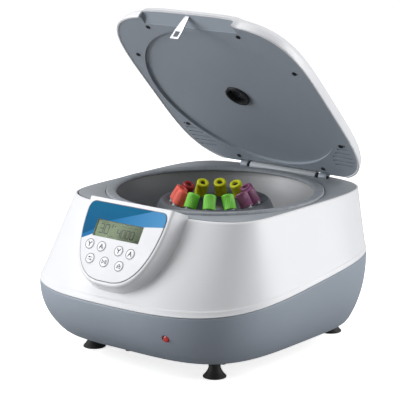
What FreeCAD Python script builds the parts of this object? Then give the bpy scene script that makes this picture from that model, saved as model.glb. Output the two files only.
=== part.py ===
import FreeCAD, Part
import os
import Sketcher
from math import cos, sin, pi, radians, copysign

# Bench-top clinical centrifuge with a hinged lid, drawn open.
# Millimetres. +Z up, the console faces -Y (the front), +X is to the right of the console.
# Every piece is drawn in housing coordinates: z = 0 is the table, x = 0 is the plane of
# symmetry. The sheet's ofs_y moves the whole machine along Y so that the origin sits under
# the middle of its outer box. Lid pieces are drawn shut and turned about the hinge axis.

V = FreeCAD.Vector
UP = V(0, 0, 1)

DIMS = [
    ("ofs_y", 15.2), ("wall", 2.5),
    # parting line between the two housing shells: widest outline, rises to the back
    ("seam_hw", 190.0), ("seam_front", 203.0), ("seam_back", 179.2), ("seam_exp", 3.58),
    ("seam_z", 117.3), ("seam_rise", 0.1021), ("seam_bulge", 12.0), ("seam_lift", 2.2),
    # floor outline of the lower shell
    ("floor_hw", 160.3), ("floor_front", 174.7), ("floor_back", 170.8), ("floor_exp", 3.81),
    ("floor_z", 29.0), ("floor_curve", 2.37), ("floor_flange", 14.0),
    # deck outline at the top of the upper shell
    ("deck_hw", 155.0), ("deck_front", 132.0), ("deck_back", 184.0), ("deck_nf", 5.3),
    ("deck_nb", 5.0), ("deck_z", 209.5), ("deck_bulge", 12.0), ("deck_thick", 3.0),
    # chamber
    ("axis_y", 14.1), ("bowl_r", 142.0), ("bowl_floor_r", 134.0), ("bowl_floor_z", 112.0),
    ("bowl_wall", 1.2), ("deck_hole_r", 149.2), ("ring_in", 134.0), ("ring_out", 148.2),
    ("ring_top", 212.5),
    # console on the front
    ("con_y", -162.0), ("con_z", 217.9), ("con_slope", 31.0), ("con_margin", 7.5),
    ("top_y", -159.3), ("top_z", 223.0), ("top_slope", 23.9),
    ("key_r", 7.2), ("overlay_t", 0.8), ("lcd_w", 78.0), ("lcd_l", 23.0),
    # feet
    ("foot_x", 104.5), ("foot_front", 117.6), ("foot_back", 142.6), ("foot_r", 15.5),
    ("foot_stem_r", 8.0), ("foot_top", 32.2),
    # lid and hinge
    ("hinge_y", 171.7), ("hinge_z", 210.5), ("lid_open", 46.2), ("lid_hw", 156.0),
    ("lid_mid", 160.0), ("lid_front", 166.0), ("lid_back", 168.0), ("lid_exp", 4.1),
    ("lid_rim_z", 212.8), ("lid_rise", 34.5), ("visor", 5.0), ("notch_hw", 77.5),
    ("recess_r", 144.0), ("port_r", 18.0), ("port_reach", 163.0), ("pin_r", 2.5),
    ("barrel_r", 5.5), ("block_hl", 57.5), ("bar_r", 6.15),
    # rotor and tubes
    ("places", 12.0), ("tube_ring", 50.0), ("tube_tilt", 31.0), ("cap_mid_z", 202.5),
    ("tube_r", 6.4), ("cap_r", 8.5), ("cap_len", 21.0), ("tube_len", 64.0), ("shaft_r", 5.0),
    # drive
    ("motor_r", 43.0), ("motor_top", 98.0), ("motor_base", 48.0),
    # lid lock
    ("lock_y", -152.3), ("pawl_y", -143.0), ("pawl_z", 176.0),
    # emergency release plug
    ("plug_x", 91.0), ("plug_y", -200.3), ("plug_z", 67.9), ("plug_r", 5.0),
    # rear panel
    ("rear_y", 165.5), ("rear_t", 2.0),
]

doc = FreeCAD.newDocument("centrifuge")
sheet = doc.addObject("Spreadsheet::Sheet", "Dims")
for row, (alias, number) in enumerate(DIMS, 1):
    sheet.set("A%d" % row, alias)
    sheet.set("B%d" % row, repr(number))
    sheet.setAlias("B%d" % row, alias)
doc.recompute()


def dim(alias):
    return float(sheet.get(alias))


# ---------------------------------------------------------------- document helpers
# A size or place given as text is an expression bound to the sheet.
TO_RIGHT = FreeCAD.Rotation(V(0, 1, 0), 90)      # local z along +X
TO_FRONT = FreeCAD.Rotation(V(1, 0, 0), 90)      # local z along -Y

parts = []        # the pieces that become files


def keep(obj, label, shift="Dims.ofs_y"):
    """Register a housing piece; shift is where its own origin lies along Y."""
    obj.Label = label
    obj.setExpression("Placement.Base.y", shift)
    parts.append(obj)


def keep_on_lid(obj, label, reach="Dims.hinge_y"):
    """Register a lid piece whose own origin lies reach in front of the hinge axis, at z = 0."""
    obj.Label = label
    obj.Placement = FreeCAD.Placement(V(), FreeCAD.Rotation(V(1, 0, 0), -dim("lid_open")))
    angle = "Dims.lid_open * 1 deg"
    terms = {"reach": reach, "angle": angle}
    obj.setExpression("Placement.Rotation.Angle", "-" + angle)
    obj.setExpression("Placement.Base.y", "Dims.hinge_y - %(reach)s * cos(%(angle)s)"
                      " - Dims.hinge_z * sin(%(angle)s) + Dims.ofs_y" % terms)
    obj.setExpression("Placement.Base.z", "Dims.hinge_z + %(reach)s * sin(%(angle)s)"
                      " - Dims.hinge_z * cos(%(angle)s)" % terms)
    parts.append(obj)


def set_size(obj, prop, value):
    if isinstance(value, str):
        obj.setExpression(prop, value)
    else:
        setattr(obj, prop, value)


def place(obj, x, y, z, rot=None):
    base = [0.0 if isinstance(c, str) else c for c in (x, y, z)]
    obj.Placement = FreeCAD.Placement(V(*base), rot or FreeCAD.Rotation())
    for value, axis in ((x, "x"), (y, "y"), (z, "z")):
        if isinstance(value, str):
            obj.setExpression("Placement.Base." + axis, value)
    return obj


def cylinder(radius, height, x=0.0, y=0.0, z=0.0, rot=None):
    obj = doc.addObject("Part::Cylinder", "Cylinder")
    set_size(obj, "Radius", radius)
    set_size(obj, "Height", height)
    return place(obj, x, y, z, rot)


def box(size_x, size_y, size_z, x=0.0, y=0.0, z=0.0, rot=None):
    obj = doc.addObject("Part::Box", "Box")
    set_size(obj, "Length", size_x)
    set_size(obj, "Width", size_y)
    set_size(obj, "Height", size_z)
    return place(obj, x, y, z, rot)


def cut(base, tool):
    obj = doc.addObject("Part::Cut", "Cut")
    obj.Base = base
    obj.Tool = tool
    return obj


def fuse(*objs):
    obj = doc.addObject("Part::MultiFuse", "Fuse")
    obj.Shapes = list(objs)
    return obj


def group(*objs):
    obj = doc.addObject("Part::Compound", "Set")
    obj.Links = list(objs)
    return obj


def feature(shape):
    obj = doc.addObject("Part::Feature", "Form")
    obj.Shape = shape
    return obj


def value_of(coordinate):
    """A number, or a text sum of numbers and sheet names, as a plain number."""
    if not isinstance(coordinate, str):
        return float(coordinate)
    total, sign = 0.0, 1
    for token in coordinate.split():
        if token in ("+", "-"):
            sign = 1 if token == "+" else -1
        elif token.startswith("Dims."):
            total += sign * dim(token[len("Dims."):])
        else:
            total += sign * float(token)
    return total


def line_sketch(body, points, role):
    """A closed line sketch whose corners are held by distances from the origin."""
    sketch = body.newObject("Sketcher::SketchObject", "Profile")
    plane = next(f for f in body.Origin.OriginFeatures if f.Role == role)
    sketch.AttachmentSupport = (plane, [""])
    sketch.MapMode = "FlatFace"
    corners = [[value_of(c) for c in point] for point in points]
    count = len(corners)
    for i in range(count):
        start, end = corners[i], corners[(i + 1) % count]
        sketch.addGeometry(Part.LineSegment(V(start[0], start[1], 0), V(end[0], end[1], 0)), False)
    for i in range(count):
        sketch.addConstraint(Sketcher.Constraint("Coincident", i, 2, (i + 1) % count, 1))
    for i, point in enumerate(points):
        for j, kind in ((0, "DistanceX"), (1, "DistanceY")):
            if abs(corners[i][j]) < 1e-9:
                axis = -2 if j == 0 else -1
                sketch.addConstraint(Sketcher.Constraint("PointOnObject", i, 1, axis))
            else:
                index = sketch.addConstraint(
                    Sketcher.Constraint(kind, -1, 1, i, 1, corners[i][j]))
                if isinstance(point[j], str):
                    sketch.setExpression("Constraints[%d]" % index, point[j])
    return sketch


def turned(points, x=0.0, z=0.0, rot=None):
    """A body turned about its own z axis from a half profile of (radius, height)."""
    body = doc.addObject("PartDesign::Body", "Body")
    sketch = line_sketch(body, points, "XZ_Plane")
    turn = body.newObject("PartDesign::Revolution", "Turn")
    turn.Profile = sketch
    turn.ReferenceAxis = (sketch, ["V_Axis"])
    turn.Angle = 360.0
    body.Tip = turn
    return place(body, x, 0.0, z, rot)


def keep_turned(label, points):
    """A piece turned about the chamber axis."""
    keep(turned(points), label, "Dims.ofs_y + Dims.axis_y")


def screws(places, seat_z, head_r, head_h, shank_r, shank_len, recess_r, recess_h):
    """Screws with heads hanging below seat_z and shanks rising from it."""
    objs = []
    for x, y in places:
        head = cylinder(head_r, head_h, x, y, seat_z - head_h)
        shank = cylinder(shank_r, shank_len, x, y, seat_z)
        recess = cylinder(recess_r, recess_h, x, y, seat_z - head_h - 0.01)
        objs.append(cut(fuse(head, shank), recess))
    return group(*objs)


# ---------------------------------------------------------------- shape helpers
def revolved(points):
    """A shape turned about z from a half profile of (radius, height)."""
    corners = [V(radius, 0, z) for radius, z in points]
    face = Part.Face(Part.makePolygon(corners + [corners[0]]))
    return face.revolve(V(0, 0, 0), UP, 360)


def drill(shape, places, radius, z, height):
    """Cut a vertical hole at each (x, y)."""
    for x, y in places:
        shape = shape.cut(Part.makeCylinder(radius, height, V(x, y, z)))
    return shape


def closed_wire(points):
    curve = Part.BSplineCurve()
    curve.interpolate(Points=[V(*p) for p in points], PeriodicFlag=True)
    return Part.Wire([curve.toShape()])


def prism(points, height):
    return Part.Face(closed_wire(points)).extrude(V(0, 0, height))


def solid_loft(rows):
    return Part.makeLoft([closed_wire(row) for row in rows], True, False)


def loft_faces(wires, ruled=False):
    return Part.makeLoft(wires, False, ruled).Faces


def hollow_form(outer_rows, inner_rows):
    """A hollow moulding with open ends from matching rows of outer and inner outlines."""
    outer = [closed_wire(row) for row in outer_rows]
    inner = [closed_wire(row) for row in inner_rows]
    skin = Part.makeCompound(
        loft_faces(outer) + loft_faces(inner)
        + loft_faces([outer[0], inner[0]], True) + loft_faces([outer[-1], inner[-1]], True))
    skin.sewShape(0.001)
    solid = Part.Solid(skin.Shells[0])
    if solid.Volume < 0:
        solid.reverse()
    return solid


# ---------------------------------------------------------------- free-form outlines
HOUSING_POINTS = 72
LID_POINTS = 120


def signed_power(v, p):
    return copysign(abs(v) ** p, v) if v else 0.0


def superellipse(prefix, exp_front, exp_back, inset, count):
    """(x, y) points of an outline from the sheet's half width, front and back lengths."""
    out = []
    for i in range(count):
        angle = 2 * pi * (i + 0.5) / count
        at_front = sin(angle) < 0
        power = 2 / (exp_front if at_front else exp_back)
        length = dim(prefix + ("_front" if at_front else "_back")) - inset
        x = (dim(prefix + "_hw") - inset) * signed_power(cos(angle), power)
        out.append((x, length * signed_power(sin(angle), power)))
    return out


def bulge_share(prefix, x, y):
    """How much of the front bulge applies at a point: 0 behind y = 0, 1 at the front middle."""
    if y >= 0:
        return 0.0
    return (y / dim(prefix + "_front")) ** 2 * (1 - (x / dim(prefix + "_hw")) ** 2) ** 2


def seam_points(inset, dz):
    out = []
    exponent = dim("seam_exp")
    for x, y in superellipse("seam", exponent, exponent, inset, HOUSING_POINTS):
        share = bulge_share("seam", x, y)
        z = dim("seam_z") + dim("seam_rise") * y + dim("seam_lift") * share
        out.append((x, y - dim("seam_bulge") * share, z + dz))
    return out


def floor_points(inset, z):
    exponent = dim("floor_exp")
    plan = superellipse("floor", exponent, exponent, inset, HOUSING_POINTS)
    return [(x, y, z) for x, y in plan]


def deck_points(inset, z):
    plan = superellipse("deck", dim("deck_nf"), dim("deck_nb"), inset, HOUSING_POINTS)
    return [(x, y - dim("deck_bulge") * bulge_share("deck", x, y), z) for x, y in plan]


def blend(start, end, height_share, plan_share):
    """An outline part of the way from start to end."""
    return [(p[0] + (q[0] - p[0]) * plan_share,
             p[1] + (q[1] - p[1]) * plan_share,
             p[2] + (q[2] - p[2]) * height_share) for p, q in zip(start, end)]


def deck_prism(inset, z0, z1):
    return prism(deck_points(inset, z0), z1 - z0)


# ---------------------------------------------------------------- console frame
# Places on the console face are (x, down, out): down is the distance down the face from
# its top edge, out is the height above the face.
CON_SLOPE = radians(dim("con_slope"))
FACE_OUT = V(0, -cos(CON_SLOPE), sin(CON_SLOPE))
FACE_DOWN = V(0, -sin(CON_SLOPE), -cos(CON_SLOPE))
FACE_ORIGIN = V(0, dim("con_y"), dim("con_z"))

TOP_SLOPE = radians(dim("top_slope"))
TOP_NORMAL = V(0, sin(TOP_SLOPE), cos(TOP_SLOPE))
LID_GAP = 1.2         # vertical gap between the console's sloping top and the lid over it

# panel outline: (distance down the face, half width)
PANEL = [(0.0, 64.8), (10.0, 65.3), (25.0, 64.6), (40.0, 62.6), (55.0, 59.2), (68.0, 54.6),
         (79.0, 49.0), (88.0, 42.0), (95.0, 33.5), (99.6, 24.0), (102.0, 12.0)]

# keys: (label, x, distance down the face)
KEYS = [("key_time_down", -42.5, 57.7), ("key_time_up", -22.2, 58.3),
        ("key_speed_down", 7.9, 59.8), ("key_speed_up", 27.7, 60.7),
        ("key_mode", -33.8, 76.5), ("key_start", -9.2, 77.5), ("key_open", 16.6, 79.1)]
LCD_LEFT = -43.6
LCD_TOP = 23.0


def on_face(x, down, out=0.0):
    point = FACE_ORIGIN + FACE_DOWN * down + FACE_OUT * out
    return V(x, point.y, point.z)


def face_box(x0, x1, down0, down1, out0, out1):
    corners = [on_face(x0, down0, out0), on_face(x1, down0, out0),
               on_face(x1, down1, out0), on_face(x0, down1, out0)]
    wire = Part.makePolygon(corners + [corners[0]])
    return Part.Face(wire).extrude(FACE_OUT * (out1 - out0))


def face_cylinder(x, down, radius, out0, out1):
    return Part.makeCylinder(radius, out1 - out0, on_face(x, down, out0), FACE_OUT)


def display_box(grow_x, grow_down, out0, out1):
    """A block over the display's area, grown on every side."""
    return face_box(LCD_LEFT - grow_x, LCD_LEFT + dim("lcd_w") + grow_x,
                    LCD_TOP - grow_down, LCD_TOP + dim("lcd_l") + grow_down, out0, out1)


def console_wire(margin, top, out):
    """The panel outline grown by margin, starting at distance top down the face."""
    half = []
    for k, (down, width) in enumerate(PANEL):
        before = PANEL[max(k - 1, 0)]
        after = PANEL[min(k + 1, len(PANEL) - 1)]
        step_down, step_width = after[0] - before[0], after[1] - before[1]
        length = (step_down ** 2 + step_width ** 2) ** 0.5
        half.append((width + margin * step_down / length, down - margin * step_width / length))
    half = [(width, down) for width, down in half if down > top + 4.0]
    half.insert(0, (half[0][0], top))
    right = [on_face(width, down, out) for width, down in half]
    left = [on_face(-width, down, out) for width, down in reversed(half)]
    curve = Part.BSplineCurve()
    curve.interpolate(Points=right + left)
    return Part.Wire([curve.toShape(), Part.LineSegment(left[-1], right[0]).toShape()])


def console_solid(margin, out, depth_out, flare):
    """The console's block, wider by flare at its inner end."""
    top = -30.0
    wires = [console_wire(margin, top, out), console_wire(margin + flare, top, depth_out)]
    return Part.makeLoft(wires, True, True)


def on_top_slope(shape, lift, out):
    """Stand a shape on the console's sloping top, raised by lift and then moved out of it."""
    origin = V(0, dim("top_y"), dim("top_z") + lift) + TOP_NORMAL * out
    shape.Placement = FreeCAD.Placement(origin, FreeCAD.Rotation(UP, TOP_NORMAL))
    return shape


def above_console_top(drop):
    """Everything above the console's sloping top, lowered by drop."""
    return on_top_slope(Part.makeBox(400, 400, 120, V(-200, -200, 0)), 0.0, -drop)


# ---------------------------------------------------------------- housing shells
wall = dim("wall")
HALF_JOINT = 0.15     # half of the joint line between the two shells

SHELL_SCREWS = [(-131, -134), (0, -167), (131, -134), (-131, 130), (0, 163), (131, 130)]
FEET = [(side * dim("foot_x"), y) for y in (-dim("foot_front"), dim("foot_back"))
        for side in (-1, 1)]


def upper_shell():
    seam_out, seam_in = seam_points(0, HALF_JOINT), seam_points(wall, HALF_JOINT)
    deck_out, deck_in = deck_points(0, dim("deck_z")), deck_points(wall, dim("deck_z"))
    shares = [0.0, 0.25, 0.5, 0.75, 1.0]
    shell = hollow_form([blend(seam_out, deck_out, t, t) for t in shares],
                        [blend(seam_in, deck_in, t, t) for t in shares])

    console = console_solid(dim("con_margin"), 0.0, -42.0, 7.0).cut(above_console_top(0.0))
    console = console.cut(deck_prism(wall, 206.0, 260.0))
    core = solid_loft([blend(seam_in, deck_in, 0.2, 0.2), blend(seam_in, deck_in, 0.6, 0.6),
                       deck_in, deck_points(wall, 214.0)])
    hollow = console_solid(dim("con_margin") - wall, -wall, -60.0, 9.0)
    hollow = hollow.cut(above_console_top(wall))
    hollow = hollow.cut(deck_prism(0.0, 206.5, 260.0))
    shell = shell.fuse(console.cut(core))
    shell = shell.cut(hollow)
    # the console's top stops short of the chamber
    shell = shell.cut(deck_prism(4.0, 201.0, 206.6))

    shell = shell.cut(display_box(1, 1, -6, 3))
    for _label, x, down in KEYS:
        shell = shell.cut(face_cylinder(x, down, dim("key_r") + 0.4, -6, 3))
    # slot in the console's top for the lid's striker
    shell = shell.cut(Part.makeBox(19.0, 6.4, 40.0, V(-9.5, dim("lock_y") - 3.2, 200.0)))
    keep(feature(shell), "upper_shell")


def lower_shell():
    floor_z, curve = dim("floor_z"), dim("floor_curve")
    seam_out, seam_in = seam_points(0, -HALF_JOINT), seam_points(wall, -HALF_JOINT)
    floor_out, floor_in = floor_points(0, floor_z), floor_points(wall, floor_z)
    shares = [0.0, 0.12, 0.26, 0.42, 0.58, 0.74, 0.88, 1.0]
    shell = hollow_form([blend(seam_out, floor_out, t, t ** curve) for t in shares],
                        [blend(seam_in, floor_in, t, t ** curve) for t in shares])
    # inward flange that carries the base plate
    flange = Part.Face([closed_wire(floor_points(wall * 0.5, floor_z)),
                        closed_wire(floor_points(dim("floor_flange"), floor_z))])
    shell = shell.fuse(flange.extrude(V(0, 0, 3.0)))

    # openings for the rear panel, the release plug, the screws and the feet
    shell = shell.cut(Part.makeBox(160, 20, 48, V(-80, 165, 54)))
    shell = shell.cut(Part.makeCylinder(
        dim("plug_r") + 0.1, 30, V(dim("plug_x"), dim("plug_y") - 14, dim("plug_z")), V(0, 1, 0)))
    shell = drill(shell, SHELL_SCREWS, 2.3, 24, 12)
    shell = drill(shell, FEET, 9.0, 24, 12)
    keep(feature(shell), "lower_shell")


# ---------------------------------------------------------------- deck, chamber and its ring
def deck_panel():
    deck_z = dim("deck_z")
    deck = deck_prism(wall + 0.4, deck_z - dim("deck_thick"), deck_z)
    deck = deck.cut(Part.makeCylinder(dim("deck_hole_r"), 20, V(0, dim("axis_y"), deck_z - 10)))
    # slot for the hinge
    deck = deck.cut(Part.makeBox(154.0, 13.0, 20.0, V(-77.0, 165.2, 200.0)))
    keep(feature(deck), "deck_panel")


def chamber_bowl():
    keep_turned("chamber_bowl", [
        (14.0, "Dims.bowl_floor_z"), ("Dims.bowl_floor_r", "Dims.bowl_floor_z"),
        ("Dims.bowl_floor_r + 7.0", "Dims.bowl_floor_z + 6.0"),
        ("Dims.bowl_r + Dims.bowl_wall", 128.0), ("Dims.bowl_r + Dims.bowl_wall", 205.0),
        (148.9, 205.0), (148.9, 206.2), ("Dims.bowl_r", 206.2), ("Dims.bowl_r", 128.5),
        ("Dims.bowl_floor_r + 6.0", "Dims.bowl_floor_z + 7.6"),
        ("Dims.bowl_floor_r - 0.5", "Dims.bowl_floor_z + Dims.bowl_wall"),
        (14.0, "Dims.bowl_floor_z + Dims.bowl_wall")])


def chamber_gasket():
    """Soft ring whose rounded lip hangs in over the chamber's wall."""
    keep_turned("chamber_gasket", [
        ("Dims.bowl_r + 0.4", 206.2), ("Dims.ring_out", 206.2), ("Dims.ring_out", 209.4),
        ("Dims.ring_out - 0.5", 211.2), ("Dims.ring_out - 1.6", "Dims.ring_top - 0.25"),
        ("Dims.ring_out - 2.9", "Dims.ring_top"), ("Dims.ring_in + 5.0", "Dims.ring_top - 0.2"),
        ("Dims.ring_in + 2.4", "Dims.ring_top - 0.9"), ("Dims.ring_in + 0.8", 210.6),
        ("Dims.ring_in", 209.2), ("Dims.ring_in + 0.3", 207.9), ("Dims.ring_in + 1.6", 207.1),
        ("Dims.bowl_r - 0.6", 207.0)])


# ---------------------------------------------------------------- base plate, feet, screws
PLATE_T = 2.0
PLATE_TOP = dim("foot_top") + PLATE_T       # the plate rests on the foot stems
MOTOR_POSTS = [(-62.0, -48.0), (62.0, -48.0), (-62.0, 76.0), (62.0, 76.0)]


def base_plate():
    plate = prism(floor_points(wall + 2.0, dim("foot_top")), PLATE_T)
    for places, radius in ((FEET, 2.6), (SHELL_SCREWS, 2.05), (MOTOR_POSTS, 2.1)):
        plate = drill(plate, places, radius, 28, 10)
    # a row of seven slots on each side
    for i in range(7):
        for side in (-1, 1):
            plate = plate.cut(Part.makeBox(44, 3.2, 10, V(side * 88 - 22, -36 + i * 9, 28)))
    keep(feature(plate), "base_plate")


def feet():
    """Rubber cups with stems, each screwed up into the base plate."""
    foot_r, stem_r, top = dim("foot_r"), dim("foot_stem_r"), dim("foot_top")
    pads = []
    for x, y in FEET:
        pad = revolved([(5.2, 0.0), (foot_r, 0.0), (foot_r, 1.2), (12.6, 4.2), (10.0, 8.0),
                        (stem_r, 12.5), (stem_r, top), (2.6, top), (2.6, 10.0), (5.2, 10.0)])
        pad.translate(V(x, y, 0))
        pads.append(pad)
    keep(feature(Part.makeCompound(pads)), "foot_pads")
    keep(screws(FEET, 10.0, head_r=4.6, head_h=3.0, shank_r=2.5, shank_len=27.0,
                recess_r=1.6, recess_h=1.8), "foot_screws")


def plate_screws():
    keep(screws(SHELL_SCREWS, dim("floor_z"), head_r=4.0, head_h=2.4, shank_r=2.0, shank_len=8.0,
                recess_r=1.6, recess_h=1.44), "plate_screws")


# ---------------------------------------------------------------- rear panel and its fittings
FITTING_Z = 78.0      # every fitting is centred at this height
INLET_X = -52.0
SWITCH_X = -13.0
FUSE_X = 15.0
FAN_X = 52.0
REAR_FACE = dim("rear_y") + dim("rear_t")
ROCKER_Y = REAR_FACE + 0.4                  # pivot of the rocker
FAN_FRONT = 155.5


def rear_box(x_mid, size_x, size_y, size_z, y, z_mid=FITTING_Z):
    """A box centred on (x_mid, z_mid) whose front face is at y."""
    return box(size_x, size_y, size_z, x_mid - size_x / 2, y, z_mid - size_z / 2)


def rear_cylinder(x, radius, length, y_back):
    """A cylinder that runs forward from y_back."""
    return cylinder(radius, length, x, y_back, FITTING_Z, TO_FRONT)


def rear_panel():
    panel = rear_box(0.0, 170.0, "Dims.rear_t", 56.0, "Dims.rear_y")
    holes = fuse(rear_box(INLET_X, 27.6, 12.0, 20.0, 161.3),
                 rear_box(SWITCH_X, 13.4, 12.0, 19.6, 161.3),
                 rear_cylinder(FUSE_X, 6.1, 12.0, 173.3),
                 rear_cylinder(FAN_X, 17.0, 12.0, 173.3))
    keep(cut(panel, holes), "rear_panel")


def power_inlet():
    body = fuse(rear_box(INLET_X, 27.4, 24.0, 19.8, 143.8),
                rear_box(INLET_X, 34.0, 2.6, 26.0, REAR_FACE))
    body = cut(body, rear_box(INLET_X, 22.4, 18.0, 14.6, 153.8))
    blades = [rear_box(INLET_X + dx, 2.0, 16.0, 4.0, 153.3, FITTING_Z + dz)
              for dx, dz in ((0.0, 2.6), (-7.0, -2.6), (7.0, -2.6))]
    keep(fuse(body, *blades), "power_inlet")


def power_switch():
    frame = fuse(rear_box(SWITCH_X, 13.0, 20.0, 19.2, 147.8),
                 rear_box(SWITCH_X, 15.6, 2.0, 22.4, REAR_FACE))
    sockets = cylinder(1.3, 12.0, SWITCH_X - 6.0, ROCKER_Y, FITTING_Z, TO_RIGHT)
    frame = cut(frame, fuse(rear_box(SWITCH_X, 10.4, 12.0, 16.4, 157.9), sockets))
    keep(frame, "switch_frame")

    # the rocker is tilted about its pivot; its stubs turn in the frame's sockets
    rocker = doc.addObject("PartDesign::Body", "Body")
    sketch = line_sketch(rocker, [(-3.6, -7.4), (3.2, -7.7), (1.8, 0.0), (3.2, 7.7), (-3.6, 7.4)],
                         "YZ_Plane")
    pad = rocker.newObject("PartDesign::Pad", "Pad")
    pad.Profile = sketch
    pad.Length = 9.6
    rocker.Tip = pad
    place(rocker, SWITCH_X - 4.8, ROCKER_Y, FITTING_Z, FreeCAD.Rotation(V(1, 0, 0), 7.0))
    stubs = cylinder(1.2, 11.8, SWITCH_X - 5.9, ROCKER_Y, FITTING_Z, TO_RIGHT)
    keep(fuse(rocker, stubs), "power_rocker")


def fuse_holder():
    keep(fuse(rear_cylinder(FUSE_X, 6.0, 24.0, 167.7), rear_cylinder(FUSE_X, 8.0, 3.2, 170.7),
              rear_box(FUSE_X, 9.0, 2.0, 2.0, 170.5)), "fuse_holder")


def fan():
    frame = cut(rear_box(FAN_X, 40.0, 10.0, 40.0, FAN_FRONT),
                rear_cylinder(FAN_X, 18.4, 12.0, 166.5))
    spider = [rear_cylinder(FAN_X, 8.5, 2.0, FAN_FRONT + 2.0),
              rear_box(FAN_X, 38.0, 2.0, 1.6, FAN_FRONT),
              rear_box(FAN_X, 1.6, 2.0, 38.0, FAN_FRONT)]
    keep(fuse(frame, *spider), "fan_frame")

    blades = 7
    rotor = Part.makeCylinder(8.4, 6.4, V(FAN_X, 164.7, FITTING_Z), V(0, -1, 0))
    pitch = FreeCAD.Placement(V(0, 0, 0), FreeCAD.Rotation(V(1, 0, 0), 35))
    for i in range(blades):
        blade = Part.makeBox(9.6, 0.9, 7.4, V(7.6, -0.45, -3.7))
        spin = FreeCAD.Placement(V(FAN_X, 161.3, FITTING_Z),
                                 FreeCAD.Rotation(V(0, 1, 0), 360.0 / blades * i))
        blade.Placement = spin.multiply(pitch)
        rotor = rotor.fuse(blade)
    sweep = Part.makeCylinder(17.6, 7.2, V(FAN_X, 165.1, FITTING_Z), V(0, -1, 0))
    keep(feature(rotor.common(sweep)), "fan_rotor")


# ---------------------------------------------------------------- drive
def motor_mount():
    # dampers stand between the posts and the motor plate: flange, neck, flange
    flange_h, neck_h = 5.0, 6.0
    post_top = dim("motor_top") - 2 * flange_h - neck_h
    keep(group(*[cut(cylinder(6.5, post_top - PLATE_TOP, x, y, PLATE_TOP),
                     cylinder(2.0, 12.0, x, y, 33.0)) for x, y in MOTOR_POSTS]), "motor_posts")
    keep(group(*[fuse(cylinder(8.5, flange_h, x, y, post_top),
                      cylinder(6.0, neck_h, x, y, post_top + flange_h),
                      cylinder(8.5, flange_h, x, y, post_top + flange_h + neck_h))
                 for x, y in MOTOR_POSTS]), "motor_dampers")
    keep(cut(box(148.0, 148.0, 4.0, -74.0, -60.0, "Dims.motor_top"),
             cylinder(20.0, 6.0, 0.0, "Dims.axis_y", 97.0)), "motor_plate")


def motor():
    keep_turned("motor_housing", [
        (5.06, "Dims.motor_base"), (30.0, "Dims.motor_base"), (30.0, "Dims.motor_base + 4.0"),
        ("Dims.motor_r - 3.0", "Dims.motor_base + 4.0"), ("Dims.motor_r", "Dims.motor_base + 8.0"),
        ("Dims.motor_r", "Dims.motor_top - 6.0"), ("Dims.motor_r + 6.0", "Dims.motor_top - 6.0"),
        ("Dims.motor_r + 6.0", "Dims.motor_top"), (19.5, "Dims.motor_top"),
        (19.5, "Dims.motor_top + 5.5"), (5.06, "Dims.motor_top + 5.5")])
    keep_turned("motor_shaft", [
        (0.0, 42.0), ("Dims.shaft_r", 42.0), ("Dims.shaft_r", 132.0), (6.5, 134.0), (6.5, 138.0),
        (4.0, 168.0), (3.0, 168.0), (3.0, 181.0), (0.0, 181.0)])
    keep_turned("shaft_boot", [
        (6.2, 107.0), (9.5, 107.0), (9.5, 110.2), (18.0, 110.2), (18.0, 112.0), (13.9, 112.0),
        (13.9, 113.3), (17.5, 113.3), (17.5, 114.9), (8.0, 122.0), (6.2, 122.0)])


# ---------------------------------------------------------------- rotor with capped tubes
PLACES = int(dim("places"))
# tube places of each cap colour, counted from +X anticlockwise
CAPS = {"purple": [0, 1, 2], "yellow": [3, 4, 5], "coral": [7, 8], "red": [6],
        "green": [9, 10, 11]}


def tube_frame(i):
    """Placement whose local z runs up a tube place, origin at the middle of the cap."""
    angle, tilt = radians(360.0 * i / PLACES), radians(dim("tube_tilt"))
    middle = V(dim("tube_ring") * cos(angle), dim("axis_y") + dim("tube_ring") * sin(angle),
               dim("cap_mid_z"))
    axis = V(-sin(tilt) * cos(angle), -sin(tilt) * sin(angle), cos(tilt))
    return FreeCAD.Placement(middle, FreeCAD.Rotation(UP, axis))


def round_ended_rod(radius, z, length):
    """A rod up from z with a ball end centred at z."""
    rod = Part.makeCylinder(radius, length, V(0, 0, z))
    return rod.fuse(Part.makeSphere(radius, V(0, 0, z)))


def rotor():
    body = revolved([
        (4.05, 138.0), (22.0, 138.0), (32.0, 132.0), (72.0, 132.0), (88.0, 142.0), (93.0, 149.0),
        (93.0, 158.0), (75.5, 195.5), (72.5, 198.0), (68.5, 197.0), (42.0, 180.5), (30.0, 174.0),
        (20.0, 168.0), (4.05, 168.0)])
    bore = revolved([(0.0, 137.0), (6.55, 137.0), (6.55, 138.0), (4.05, 168.0), (4.05, 169.0),
                     (0.0, 169.0)])
    body = body.cut(bore)
    body.translate(V(0, dim("axis_y"), 0))
    for i in range(PLACES):
        hole = round_ended_rod(dim("tube_r") + 0.35, -dim("tube_len") + 6.0, 200.0)
        hole.Placement = tube_frame(i)
        body = body.cut(hole)
    keep(feature(body), "rotor")


def rotor_nut():
    keep_turned("rotor_nut", [
        (3.05, 168.05), (9.0, 168.05), (13.0, 170.0), (13.0, 177.0), (10.5, 179.5), (10.5, 184.0),
        (8.5, 186.0), (0.0, 186.0), (0.0, 182.0), (3.05, 182.0)])


def sample_tubes():
    radius, length = dim("tube_r"), dim("tube_len")
    glass = 0.9
    mouth_z = 4.0
    ball_z = -(length - radius - 2.0)
    tubes = []
    for i in range(PLACES):
        outside = round_ended_rod(radius, ball_z, mouth_z - ball_z)
        inside = round_ended_rod(radius - glass, ball_z, mouth_z - ball_z + 2.0)
        tube = outside.cut(inside)
        tube.Placement = tube_frame(i)
        tubes.append(tube)
    keep(feature(Part.makeCompound(tubes)), "sample_tubes")


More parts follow.
